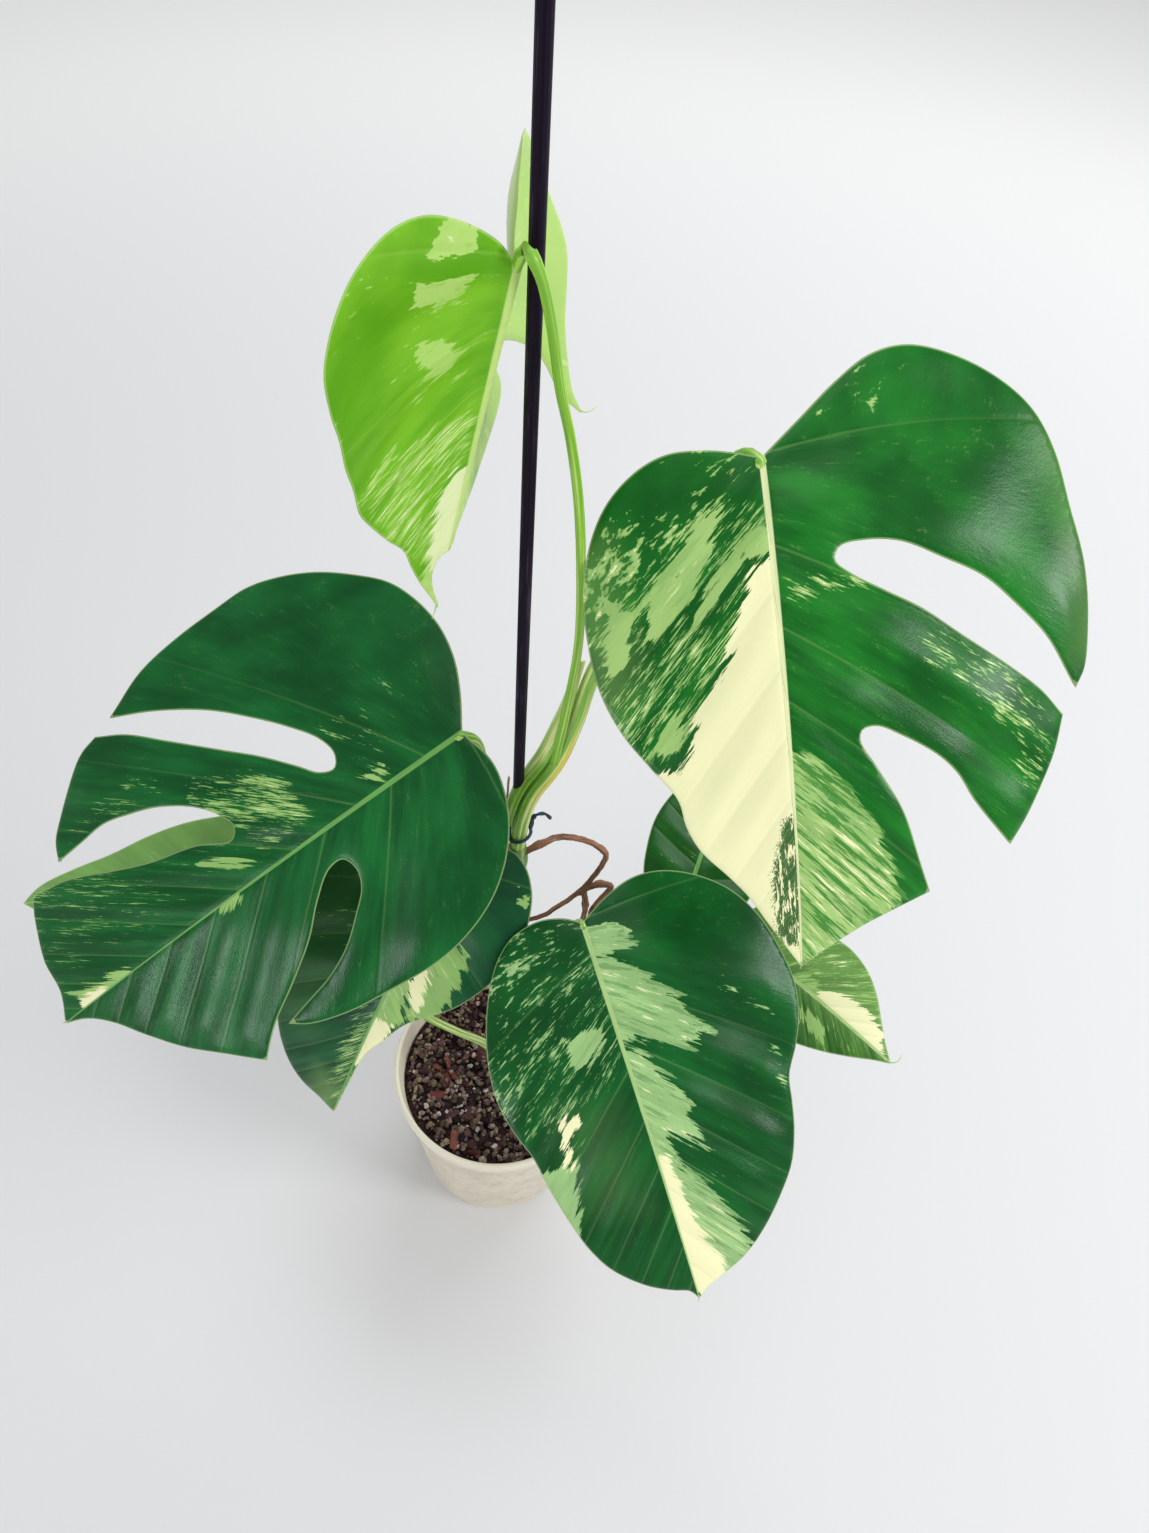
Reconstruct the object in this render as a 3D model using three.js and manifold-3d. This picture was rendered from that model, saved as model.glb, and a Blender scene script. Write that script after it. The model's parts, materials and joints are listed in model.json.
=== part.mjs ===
// A young variegated monstera in a nursery pot: bark mix, a climbing stem tied to a stake, eight leaves.
// Millimetres, +Z up, with the front towards -Y. The origin is the centre of the pot's underside.
import * as THREE from "three";
import { mergeVertices } from "three/addons/utils/BufferGeometryUtils.js";
import Module from "manifold-3d";

const wasm = await Module();
wasm.setup();

// Driving dimensions
const CLEARANCE = 0.3;
const POT = { height: 120, baseRadius: 47, shoulderRadius: 56.5, rimRadius: 60, wall: 1.5, floor: 2.5, sides: 48 };
const DRAIN = { count: 6, radius: 4, circle: 31, sides: 10 };
const SOIL = { top: 106, relief: 2.2, ringStep: 5.6, seed: 7, lumps: 46 };
const STAKE = { x: 6, y: 1, radius: 2.1, bottom: 16, top: 705, sides: 14 };
const STEM = {
  path: [[8.5, -7, 72], [8.5, -7, 110], [9.5, -7.5, 170], [8.5, -7, 235], [8, -6.8, 300], [7, -6.3, 362]],
  radius: 3.6,
  nodes: [122, 158, 188, 226, 262, 318, 352],
  nodeSwell: 0.8,
};
const BLADE = { thickness: 0.8, rib: 2.2, ribWidth: 3.5, marginStep: 6, gridStep: 14, marginClear: 4.8 };

// A blade is drawn flat and then bent. u runs across it, to the right with the tip down, and v runs from the
// stalk to the tip. base, tip and side place it, bend arches the midrib, left and right fold each half down
// at the midrib, droop curls it further towards its edge (degrees per 100 mm), and rear adds to the left fold
// towards the stalk. Each margin is a chain of smooth runs that meet at corners.
const leaves = [
  {
    name: "leaf_1", colour: 0x8cc63a, base: [1, -6, 613], tip: [-20, -9, 504], side: [-0.51, -0.85, 0.13],
    bend: 0, left: -17, right: -24, droop: 65, rear: -28,
    margin: [
      [[0, 1], [5, -4], [16, -10], [29, -14], [40, -13], [50, -7], [56, 2], [58, 12], [54, 24], [48, 36], [44, 46],
        [39, 56], [35, 66], [29, 74], [22, 82], [16, 88], [12, 96], [7, 105], [3, 111], [-2, 119]],
      [[-2, 119], [2, 110], [4, 102], [3, 96], [0, 92.5], [-4, 89], [-9, 84.5], [-15, 78.5], [-20, 71.5], [-26, 60],
        [-27, 54], [-24.5, 48], [-19, 42.5], [-12.5, 37], [-11, 34], [-15, 33], [-22, 36], [-32, 40.5], [-40, 45],
        [-46, 49], [-51, 54], [-55, 60], [-60, 68], [-69, 76]],
      [[-69, 76], [-65, 68], [-63, 58], [-62, 46], [-63, 35], [-63, 26], [-60, 18], [-55, 10], [-49, 1],
        [-41, -8], [-32, -14], [-25, -17.5], [-19, -17], [-13, -12], [-6, -4], [0, 1]],
    ],
  },
  {
    name: "leaf_2", colour: 0x3f8f3c, base: [75, 33, 535], tip: [114, -66, 394], side: [0.97, 0.2, 0.12],
    bend: 22, left: 8, right: 4, droop: 14, rear: 0,
    margin: [
      [[0, 1], [-9, -2], [-18, -4], [-29, -4.5], [-39, -1], [-49, 7], [-56, 18], [-61, 34], [-62, 50], [-60, 68],
        [-54, 84], [-46, 97], [-38, 109], [-36, 119], [-32, 128], [-23, 139], [-17, 147], [-11, 158], [0, 178]],
      [[0, 178], [8, 173], [21, 167], [34, 163], [49, 159]],
      [[49, 159], [45, 145], [38, 123], [29, 105], [24, 95], [25, 91.5], [30, 91], [39, 96], [51, 105], [59, 114],
        [66, 126], [81, 148]],
      [[81, 148], [87, 139], [93, 128], [99, 116], [103, 103]],
      [[103, 103], [94, 92], [80, 80], [64, 67], [49, 55], [36, 47], [25, 40], [20, 35], [22, 31], [31, 30],
        [43, 32], [57, 39], [73, 48], [85, 60], [97, 74], [109, 94]],
      [[109, 94], [113, 87], [114, 71], [112, 51], [108, 31], [104, 11], [96, -4], [81, -17], [64, -25],
        [50, -28], [38, -26], [26, -19], [13, -9], [0, 1]],
    ],
  },
  {
    name: "leaf_3", colour: 0x14603c, base: [-15, 2, 423], tip: [-172, -74, 300], side: [0.64, -0.63, -0.43],
    bend: 22, left: 4, right: 4, droop: 12, rear: 0,
    margin: [
      [[0, 1], [-13, -7], [-25, -12], [-39, -14], [-53, -12], [-65, -7], [-76, 3], [-86, 15], [-94, 29],
        [-99, 43], [-100, 60], [-100, 80], [-98, 103], [-91, 123]],
      [[-91, 123], [-81, 103], [-67, 82], [-53, 67], [-41, 56], [-30, 48], [-22, 46], [-17, 49], [-19, 55],
        [-26, 61], [-38, 72], [-49, 84], [-67, 104], [-80, 119], [-88, 133]],
      [[-88, 133], [-86, 143], [-80, 154], [-72, 166], [-64, 175], [-56, 178]],
      [[-56, 178], [-56, 163], [-56, 148], [-52, 134], [-47, 121], [-38, 107], [-29, 99], [-22, 96], [-18, 100],
        [-25, 115], [-31, 137], [-38, 155], [-47, 177], [-52, 200]],
      [[-52, 200], [-46, 204], [-38, 207], [-26, 210], [-12, 210], [0, 217]],
      [[0, 217], [4, 205], [12, 194], [24, 184], [37, 173], [49, 159], [60, 146]],
      [[60, 146], [50, 132], [40, 113], [30, 96], [20, 84], [13, 73], [13, 66], [19, 64], [26, 67], [33, 75],
        [41, 86], [47, 100], [50, 113], [53, 127]],
      [[53, 127], [58, 119], [63, 102], [65, 83], [66, 63], [64, 46], [58, 29], [49, 16], [39, 7], [28, 1],
        [15, -2], [0, 1]],
    ],
  },
  {
    name: "leaf_4", colour: 0x2a7a3c, base: [36, -29, 346], tip: [101.5, -141.5, 235.5], side: [0.91, 0.37, 0.16],
    bend: 24, left: 6, right: 2, droop: 16, rear: 0,
    margin: [
      [[0, 1], [-7, -3], [-17.5, -5], [-29.5, -2], [-38, 5], [-45, 15.5], [-51, 29.5], [-55, 45], [-56, 61], [-53, 76.5],
        [-49, 89], [-47, 104], [-43, 121.5], [-38, 137], [-31.5, 149], [-20.5, 159.5], [-10, 165.5], [-3, 168.5], [0, 173.5]],
      [[0, 173.5], [5, 169.5], [13.5, 166.5], [24.5, 162.5], [35.5, 154], [47, 141], [55, 129.5], [60, 115.5], [62.5, 103], [64.5, 92],
        [71.5, 80.5], [76.5, 69.5], [79.5, 55], [77.5, 38], [72.5, 21.5], [64.5, 8], [53, -2], [38, -9], [25.5, -10], [12.5, -6], [0, 1]],
    ],
  },
  {
    name: "leaf_5", colour: 0x2f7f45, base: [-20.3, -16, 357.5], tip: [-64.7, -79.6, 247.5], side: [0.92, -0.35, -0.18],
    bend: 26, left: 6, right: 6, droop: 18, rear: 0,
    margin: [
      [[0, 1], [-8, -8], [-19, -12], [-30, -9], [-39, 0], [-45, 14], [-49, 32], [-51, 52], [-50, 74], [-46, 96],
        [-39, 117], [-30, 130], [-20, 136], [-9, 138], [0, 141]],
      [[0, 141], [1, 120], [3, 98], [8, 86], [13, 75], [21, 66], [29, 57], [35, 46], [38, 38], [41, 26], [41, 12],
        [38, 0], [35, -6], [29, -13], [21, -17], [12, -15], [5, -7], [0, 1]],
    ],
  },
  {
    name: "leaf_6", colour: 0x5d9a4a, base: [117, 9, 275], tip: [184, -37, 259], side: [0.5, 0.8, 0.35],
    bend: 24, left: 4, right: 4, droop: 12, rear: 0,
    margin: [
      [[0, 1], [-6, -6], [-14, -8], [-21, -1], [-25, 12], [-26, 28], [-23, 44], [-17, 58], [-10, 70], [-4, 79],
        [0, 86]],
      [[0, 86], [5, 79], [12, 71], [20, 62], [26, 52], [29, 40], [28, 26], [26, 12], [22, 0], [15, -8], [7, -6],
        [0, 1]],
    ],
  },
  {
    name: "leaf_7", colour: 0x1f6e35, base: [88, 31, 277], tip: [113, 124, 272], side: [-0.95, 0.25, 0],
    bend: 24, left: 4, right: 4, droop: 16, rear: 0,
    margin: [
      [[0, 1], [-7, -8], [-16, -9], [-25, -1], [-30, 14], [-31, 32], [-27, 52], [-19, 72], [-9, 88], [0, 101]],
      [[0, 101], [8, 89], [17, 74], [24, 56], [28, 37], [27, 18], [24, 4], [18, -7], [9, -9], [0, 1]],
    ],
  },
  {
    name: "leaf_8", colour: 0x6fae55, base: [-94, 12, 299], tip: [-234, 3, 253], side: [0.1, -0.8, -0.5],
    bend: 20, left: 4, right: 4, droop: 12, rear: 0,
    margin: [
      [[0, 1], [-8, -7], [-18, -8], [-25, 1], [-28, 18], [-28, 36], [-27, 54], [-23, 76], [-17, 97], [-13, 116],
        [-7, 138], [0, 149]],
      [[0, 149], [6, 137], [14, 118], [22, 97], [28, 74], [31, 50], [31, 26], [26, 6], [18, -6], [9, -7], [0, 1]],
    ],
  },
];

// Stalks, from the stem to the underside of the blade. Radii at the clasping foot, half way and under the blade.
const stalks = {
  leaf_1: {
    radii: [2, 1.6, 1.35],
    path: [[19, 6, 404], [22, 11, 430], [24, 15, 455], [24, 16, 474], [21, 13, 521], [17, 6, 554],
      [13.5, 0.5, 574], [10.5, -6, 598], [7.5, -9.5, 612], [4.5, -9.5, 617]],
  },
  leaf_2: {
    radii: [3.1, 3.1, 2.3],
    path: [[7.1, -6.3, 362.6], [8, -5, 375], [9.8, -3, 385.5], [12.5, 0.2, 391.5], [16, 3.5, 396], [20.7, 7.7, 403.6],
      [26, 14.5, 420], [29.6, 19.6, 437.5], [36, 24.5, 457], [46, 32.6, 484.5], [57, 37.5, 507.5], [71, 37.5, 530]],
  },
  leaf_3: {
    radii: [3.3, 2.7, 2.2],
    path: [[7.8, -6.7, 322], [2, -5.5, 335], [-2.5, -4.5, 352], [-4, -3, 375], [-7, 0, 400], [-12, 3, 416]],
  },
  leaf_4: {
    radii: [3.2, 2.5, 2],
    path: [[8.5, -7, 228], [15, -11, 240], [23, -18, 264], [30, -24, 296], [34, -27, 326], [35.3, -27.5, 340]],
  },
  leaf_5: {
    radii: [3, 2.3, 1.9],
    path: [[8.5, -7, 270], [2, -8, 282], [-8, -10, 310], [-15, -13, 334], [-19, -13.5, 349]],
  },
  leaf_6: {
    radii: [3, 2, 1.6],
    path: [[9.5, -7.5, 160], [19, -9, 165], [35, -10, 174], [64, -9, 200], [94, -1, 240], [112, 6, 265]],
  },
  leaf_7: {
    radii: [3, 2, 1.7],
    path: [[9.5, -7.5, 190], [16, -2, 199], [38, 10, 215], [62, 20, 241], [80, 27, 264]],
  },
  leaf_8: {
    radii: [3.2, 2.2, 1.7],
    path: [[8.5, -7, 125], [2, -5, 136], [-7, -1, 148], [-24, 0, 160], [-40, 0, 176], [-58, 2, 207], [-77, 8, 255],
      [-90, 11, 288]],
  },
};

// The open sheath at the foot of leaf 2's stalk, which the newest stalk grows out of
const SHEATH = { from: 0.08, to: 0.46, radius: 6.6, wall: 0.9, start: 75, end: 255, steps: 14 };

const ROOTS = {
  radius: 1.25,
  runs: [
    [[7, -6.5, 354], [13, -5.5, 360], [18, -4, 363], [23, 0, 361.5], [31.5, 4, 356], [39, 6, 349.5], [44, 6, 343], [43, 5, 336],
      [39.5, 3.5, 327], [36, 2, 320], [33, 1, 316], [29.5, -0.5, 312], [25, -2.5, 309], [20.5, -5, 306],
      [9, -7.5, 301]],
    [[34, 1, 317], [39, 2, 322], [43.5, 3, 323.5], [48, 4, 321], [47.5, 5, 315], [44, 6, 304], [41, 8, 288],
      [42, 9, 270]],
    [[36, 2, 320], [37.5, 1, 312], [38, 1, 300], [36, 0, 286], [33, 0, 268]],
  ],
};
const DRY_SHEATH = {
  path: [[5.5, -5.5, 350], [2, -2, 357], [0.9, 2.5, 366], [1, 5, 378], [1.4, 5.5, 392]],
  halfWidth: 2.2,
  wall: 0.5,
};
const TIE = {
  radius: 0.7,
  z: 369,
  slope: 0.42,
  tail: [[12.5, 0, 374], [14.5, 0.5, 376], [17, 1, 376], [19.5, 0.5, 374]],
};

// Small helpers
const radians = THREE.MathUtils.degToRad;
const vector = ([x, y, z]) => new THREE.Vector3(x, y, z);
const curveThrough = (points) => new THREE.CatmullRomCurve3(points.map(vector), false, "centripetal");

function seededRandom(seed) {
  let state = seed;
  return () => {
    state = (state * 16807) % 2147483647;
    return state / 2147483647;
  };
}

function solidOf(geometry) {
  const bare = geometry.index ? geometry.clone() : geometry;
  for (const name of ["normal", "uv"]) bare.deleteAttribute(name);
  const merged = mergeVertices(bare, 1e-4);
  const mesh = new wasm.Mesh({
    numProp: 3,
    vertProperties: new Float32Array(merged.attributes.position.array),
    triVerts: new Uint32Array(merged.index.array),
  });
  return new wasm.Manifold(mesh);
}

// The largest body of a solid, as a geometry: a cut may leave a crumb behind
function geometryOf(solid) {
  const bodies = solid.decompose().sort((a, b) => b.volume() - a.volume());
  const mesh = bodies[0].getMesh();
  const geometry = new THREE.BufferGeometry();
  geometry.setAttribute("position", new THREE.BufferAttribute(new Float32Array(mesh.vertProperties), 3));
  geometry.setIndex(new THREE.BufferAttribute(new Uint32Array(mesh.triVerts), 1));
  return geometry;
}

function geometryFrom(points, faces) {
  const geometry = new THREE.BufferGeometry();
  geometry.setAttribute("position", new THREE.Float32BufferAttribute(points.flat(), 3));
  geometry.setIndex(faces.flat());
  return geometry;
}

// A closed body swept along a curve. section(t) gives the outline at t as [across, along] pairs, anticlockwise
// when seen from the end of the curve, and across lies in the plane of the curve and the reference direction.
function sweep(curve, steps, reference, section) {
  const points = [];
  const faces = [];
  const count = section(0).length;
  for (let i = 0; i <= steps; i += 1) {
    const centre = curve.getPointAt(i / steps);
    const tangent = curve.getTangentAt(i / steps);
    const across = reference.clone().addScaledVector(tangent, -reference.dot(tangent)).normalize();
    const along = new THREE.Vector3().crossVectors(tangent, across);
    for (const [a, b] of section(i / steps)) {
      points.push(centre.clone().addScaledVector(across, a).addScaledVector(along, b).toArray());
    }
  }
  for (let i = 0; i < steps; i += 1) {
    for (let j = 0; j < count; j += 1) {
      const a = i * count + j;
      const b = i * count + ((j + 1) % count);
      faces.push([a, b, b + count], [a, b + count, a + count]);
    }
  }
  const cap = THREE.ShapeUtils.triangulateShape(section(0).map(([a, b]) => new THREE.Vector2(a, b)), []);
  for (const [a, b, c] of cap) {
    faces.push([c, b, a], [a + steps * count, b + steps * count, c + steps * count]);
  }
  return geometryFrom(points, faces);
}

function roundSection(radius, sides) {
  return Array.from({ length: sides }, (_, j) => {
    const angle = (2 * Math.PI * j) / sides;
    return [radius * Math.cos(angle), radius * Math.sin(angle)];
  });
}

const X_AXIS = new THREE.Vector3(1, 0, 0);
const Y_AXIS = new THREE.Vector3(0, 1, 0);

// Pot, with a lip round its mouth and drain holes in its floor
function makePot() {
  const { height, baseRadius, shoulderRadius, rimRadius, wall, floor } = POT;
  const shoulder = height - 13;
  const outline = [
    [0, 0], [baseRadius - 1.5, 0], [baseRadius, 1.5], [shoulderRadius, shoulder], [rimRadius - 1.2, shoulder + 1.5],
    [rimRadius, height - 2], [rimRadius - 0.8, height], [rimRadius - 2.4, height], [rimRadius - 3.1, height - 1.5],
    [shoulderRadius - wall, shoulder - 1], [baseRadius - wall, floor], [0, floor],
  ];
  const lathe = new THREE.LatheGeometry(outline.map(([r, z]) => new THREE.Vector2(r, z)), POT.sides);
  lathe.rotateX(Math.PI / 2);
  let solid = solidOf(lathe);
  for (let i = 0; i < DRAIN.count; i += 1) {
    const angle = (2 * Math.PI * (i + 0.5)) / DRAIN.count;
    const drill = new THREE.CylinderGeometry(DRAIN.radius, DRAIN.radius, 4 * floor, DRAIN.sides);
    drill.rotateX(Math.PI / 2).translate(DRAIN.circle * Math.cos(angle), DRAIN.circle * Math.sin(angle), 0);
    solid = solid.subtract(solidOf(drill));
  }
  return geometryOf(solid);
}

// Bark mix: a plug that fills the pot, with a lumpy top, and plain holes for the stem and the stake
function makeSoil(holes) {
  const random = seededRandom(SOIL.seed);
  const innerRadius = (z) => {
    const share = (z - POT.floor) / (POT.height - 14 - POT.floor);
    return THREE.MathUtils.lerp(POT.baseRadius, POT.shoulderRadius, share) - POT.wall - CLEARANCE;
  };
  const edge = innerRadius(SOIL.top - 2);
  const lumps = Array.from({ length: SOIL.lumps }, () => {
    const angle = 2 * Math.PI * random();
    const reach = (edge - 5) * Math.sqrt(random());
    return { x: reach * Math.cos(angle), y: reach * Math.sin(angle), size: 3 + 4 * random(), rise: 2 * random() - 0.6 };
  });
  const height = (x, y) => {
    let z = SOIL.top + 0.8 * Math.sin(x / 9 + 1) * Math.cos(y / 11);
    for (const lump of lumps) {
      const distance = Math.hypot(x - lump.x, y - lump.y) / lump.size;
      z += SOIL.relief * lump.rise * Math.exp(-distance * distance);
    }
    return z;
  };
  const sides = POT.sides;
  const rings = Math.floor(edge / SOIL.ringStep);
  const points = [[0, 0, height(0, 0)]];
  for (let i = 1; i <= rings; i += 1) {
    const radius = (edge * i) / rings;
    for (let j = 0; j < sides; j += 1) {
      const angle = (2 * Math.PI * j) / sides;
      const x = radius * Math.sin(angle);
      const y = radius * Math.cos(angle);
      points.push([x, y, i === rings ? SOIL.top - 2 : height(x, y)]);
    }
  }
  const low = innerRadius(POT.floor);
  for (let j = 0; j < sides; j += 1) {
    const angle = (2 * Math.PI * j) / sides;
    points.push([low * Math.sin(angle), low * Math.cos(angle), POT.floor + CLEARANCE]);
  }
  points.push([0, 0, POT.floor + CLEARANCE]);
  const faces = [];
  for (let j = 0; j < sides; j += 1) {
    const next = (j + 1) % sides;
    faces.push([0, 1 + next, 1 + j]);
    for (let i = 0; i < rings; i += 1) {
      const inner = 1 + i * sides;
      const outer = inner + sides;
      faces.push([inner + j, inner + next, outer + next], [inner + j, outer + next, outer + j]);
    }
    faces.push([points.length - 1, 1 + rings * sides + j, 1 + rings * sides + next]);
  }
  return geometryOf(holes.reduce((solid, hole) => solid.subtract(hole), solidOf(geometryFrom(points, faces))));
}

// Stake: a smooth rod with a blunt point in the soil and a domed top
function stakeGeometry(grow) {
  const r = STAKE.radius + grow;
  const outline = [
    [0, STAKE.bottom - grow], [r * 0.5, STAKE.bottom + 1 - grow], [r, STAKE.bottom + 9], [r, STAKE.top - 1.2],
    [r * 0.6, STAKE.top - 0.2], [0, STAKE.top],
  ];
  const lathe = new THREE.LatheGeometry(outline.map(([a, z]) => new THREE.Vector2(a, z)), STAKE.sides);
  return lathe.rotateX(Math.PI / 2).translate(STAKE.x, STAKE.y, 0);
}

// Stem: a round vine that swells at each node
function stemGeometry(grow) {
  const curve = curveThrough(STEM.path);
  const low = STEM.path[0][2];
  const span = STEM.path[STEM.path.length - 1][2] - low;
  const radiusAt = (t) => {
    const z = low + span * t;
    const swell = STEM.nodes.reduce((sum, node) => sum + Math.exp(-(((z - node) / 5) ** 2)), 0);
    return STEM.radius + grow + STEM.nodeSwell * swell;
  };
  return sweep(curve, 36, X_AXIS, (t) => roundSection(radiusAt(t), 9));
}

// A blade's shape in space
function bladeFrame(leaf) {
  const base = vector(leaf.base);
  const reach = vector(leaf.tip).sub(base);
  const length = reach.length();
  const along = reach.normalize();
  const side = vector(leaf.side);
  const across = side.addScaledVector(along, -side.dot(along)).normalize();
  const up = new THREE.Vector3().crossVectors(along, across);
  return { base, length, along, across, up };
}

function bladePoint(leaf, frame, u, v) {
  const bend = radians(leaf.bend) || 1e-6;
  const t = THREE.MathUtils.clamp(v / frame.length, 0, 1);
  const angle = bend / 2 - bend * t;
  const beyond = v - frame.length * t;
  const forward = (frame.length * (Math.sin(bend / 2) - Math.sin(angle))) / bend + beyond * Math.cos(angle);
  const rise = (frame.length * (Math.cos(angle) - Math.cos(bend / 2))) / bend + beyond * Math.sin(angle);
  const rear = THREE.MathUtils.clamp(1 - v / frame.length, 0, 1.3);
  const fold = u < 0 ? radians(leaf.left + leaf.rear * rear) : radians(leaf.right);
  const curl = radians(leaf.droop) / 100;
  const out = (Math.sign(u) * (Math.sin(fold + curl * Math.abs(u)) - Math.sin(fold))) / curl;
  const drop = (Math.cos(fold + curl * Math.abs(u)) - Math.cos(fold)) / curl;
  return frame.base
    .clone()
    .addScaledVector(frame.along, forward - drop * Math.sin(angle))
    .addScaledVector(frame.up, rise + drop * Math.cos(angle))
    .addScaledVector(frame.across, out);
}

function bladeNormal(leaf, frame, u, v) {
  const step = 0.5;
  const alongV = bladePoint(leaf, frame, u, v + step).sub(bladePoint(leaf, frame, u, v - step));
  const alongU = bladePoint(leaf, frame, u + step, v).sub(bladePoint(leaf, frame, u - step, v));
  return alongV.cross(alongU).normalize();
}

// The margin as evenly spaced points, with every corner kept
function marginPoints(leaf) {
  return leaf.margin.flatMap((run) => {
    const curve = curveThrough(run.map(([u, v]) => [u, v, 0]));
    const steps = Math.max(2, Math.round(curve.getLength() / BLADE.marginStep));
    return Array.from({ length: steps }, (_, i) => curve.getPointAt(i / steps)).map((p) => [p.x, p.y]);
  });
}

function isInside([x, y], outline) {
  let inside = false;
  outline.forEach(([ax, ay], i) => {
    const [bx, by] = outline[(i + 1) % outline.length];
    if (ay > y !== by > y && x < ((bx - ax) * (y - ay)) / (by - ay) + ax) inside = !inside;
  });
  return inside;
}

function distanceToOutline([x, y], outline) {
  return Math.min(...outline.map(([ax, ay], i) => {
    const [bx, by] = outline[(i + 1) % outline.length];
    const share = ((x - ax) * (bx - ax) + (y - ay) * (by - ay)) / ((bx - ax) ** 2 + (by - ay) ** 2);
    const t = THREE.MathUtils.clamp(share, 0, 1);
    return Math.hypot(x - ax - t * (bx - ax), y - ay - t * (by - ay));
  }));
}

// Delaunay triangles of a set of points, by adding the points one at a time inside a large first triangle
function delaunay(points) {
  const far = 1e4;
  const all = [...points, [-far, -far], [far, -far], [0, far]];
  const first = points.length;
  const circle = (a, b, c) => {
    const [ax, ay] = all[a];
    const bx = all[b][0] - ax;
    const by = all[b][1] - ay;
    const cx = all[c][0] - ax;
    const cy = all[c][1] - ay;
    const d = 2 * (bx * cy - by * cx);
    const x = (cy * (bx * bx + by * by) - by * (cx * cx + cy * cy)) / d;
    const y = (bx * (cx * cx + cy * cy) - cx * (bx * bx + by * by)) / d;
    return { corners: [a, b, c], x: x + ax, y: y + ay, r2: x * x + y * y };
  };
  let triangles = [circle(first, first + 1, first + 2)];
  points.forEach(([x, y], index) => {
    const edges = new Map();
    triangles = triangles.filter((t) => {
      if ((x - t.x) ** 2 + (y - t.y) ** 2 > t.r2) return true;
      t.corners.forEach((a, i) => {
        const b = t.corners[(i + 1) % 3];
        if (!edges.delete(`${b},${a}`)) edges.set(`${a},${b}`, [a, b]);
      });
      return false;
    });
    for (const [a, b] of edges.values()) triangles.push(circle(a, b, index));
  });
  return triangles.map((t) => t.corners).filter((corners) => corners.every((c) => c < first));
}

// Flat triangles of a blade: its margin, a column each side of the midrib, and a staggered grid between.
// A margin edge that the triangles cross is halved, until none is.
function bladePattern(leaf) {
  let outline = marginPoints(leaf);
  const random = seededRandom(leaf.margin.length + 11);
  const inner = [];
  const place = (u, v) => {
    if (isInside([u, v], outline) && distanceToOutline([u, v], outline) > BLADE.marginClear) inner.push([u, v]);
  };
  const reach = leaf.margin.flat().reduce((most, [u, v]) => Math.max(most, Math.abs(u), v), 0);
  for (let v = 5; v < reach; v += 10) {
    for (const u of [-BLADE.ribWidth, 0, BLADE.ribWidth]) place(u, v + 0.2 * random());
  }
  for (let row = -4; row * BLADE.gridStep * 0.87 < reach; row += 1) {
    for (let u = 14 + (row % 2 ? BLADE.gridStep / 2 : 0); u < reach; u += BLADE.gridStep) {
      place(u + random(), row * BLADE.gridStep * 0.87 + random());
      place(-u - random(), row * BLADE.gridStep * 0.87 + random());
    }
  }
  for (;;) {
    const triangles = delaunay([...outline, ...inner]);
    const edges = new Set(triangles.flatMap(([a, b, c]) => [`${a},${b}`, `${b},${c}`, `${c},${a}`]));
    const count = outline.length;
    const crossed = outline.map((_, i) => {
      const next = (i + 1) % count;
      return !edges.has(`${i},${next}`) && !edges.has(`${next},${i}`);
    });
    const points = [...outline, ...inner];
    if (!crossed.includes(true)) {
      const kept = triangles.filter((corners) => {
        const middle = [0, 1].map((k) => corners.reduce((sum, c) => sum + points[c][k], 0) / 3);
        return isInside(middle, outline);
      });
      return { points, triangles: kept, rim: count };
    }
    outline = outline.flatMap((p, i) => {
      const q = outline[(i + 1) % count];
      return crossed[i] ? [p, [(p[0] + q[0]) / 2, (p[1] + q[1]) / 2]] : [p];
    });
  }
}

// A blade as a closed body: the same triangles on both faces, a thin edge, and a rib under the middle
function bladeGeometry(leaf, pattern, grow) {
  const frame = bladeFrame(leaf);
  const count = pattern.points.length;
  const upper = [];
  const lower = [];
  for (const [u, v] of pattern.points) {
    const normal = bladeNormal(leaf, frame, u, v);
    const point = bladePoint(leaf, frame, u, v);
    const taper = THREE.MathUtils.clamp(1 - v / frame.length, 0, 1);
    const rib = Math.abs(u) < 0.6 * BLADE.ribWidth && v > 2 ? BLADE.rib * taper : 0;
    upper.push(point.clone().addScaledVector(normal, grow).toArray());
    lower.push(point.addScaledVector(normal, -BLADE.thickness - rib - grow).toArray());
  }
  const faces = [];
  for (const [a, b, c] of pattern.triangles) {
    const [pa, pb, pc] = [a, b, c].map((i) => pattern.points[i]);
    const turn = (pb[0] - pa[0]) * (pc[1] - pa[1]) - (pb[1] - pa[1]) * (pc[0] - pa[0]);
    const [p, q, r] = turn > 0 ? [a, c, b] : [a, b, c];
    faces.push([p, q, r], [r + count, q + count, p + count]);
  }
  const area = pattern.points.slice(0, pattern.rim).reduce((sum, [x, y], i) => {
    const [nx, ny] = pattern.points[(i + 1) % pattern.rim];
    return sum + x * ny - nx * y;
  }, 0);
  for (let i = 0; i < pattern.rim; i += 1) {
    const next = (i + 1) % pattern.rim;
    const [a, b] = area > 0 ? [next, i] : [i, next];
    faces.push([b, a, a + count], [b, a + count, b + count]);
  }
  return geometryFrom([...upper, ...lower], faces);
}

// A stalk: a swept round body that thins upwards, ending just under the blade's base
function stalkCurve(leaf) {
  const stalk = stalks[leaf.name];
  const frame = bladeFrame(leaf);
  const under = bladePoint(leaf, frame, 0, 3).addScaledVector(bladeNormal(leaf, frame, 0, 3), -1.2);
  return curveThrough([...stalk.path, under.toArray()]);
}

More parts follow.
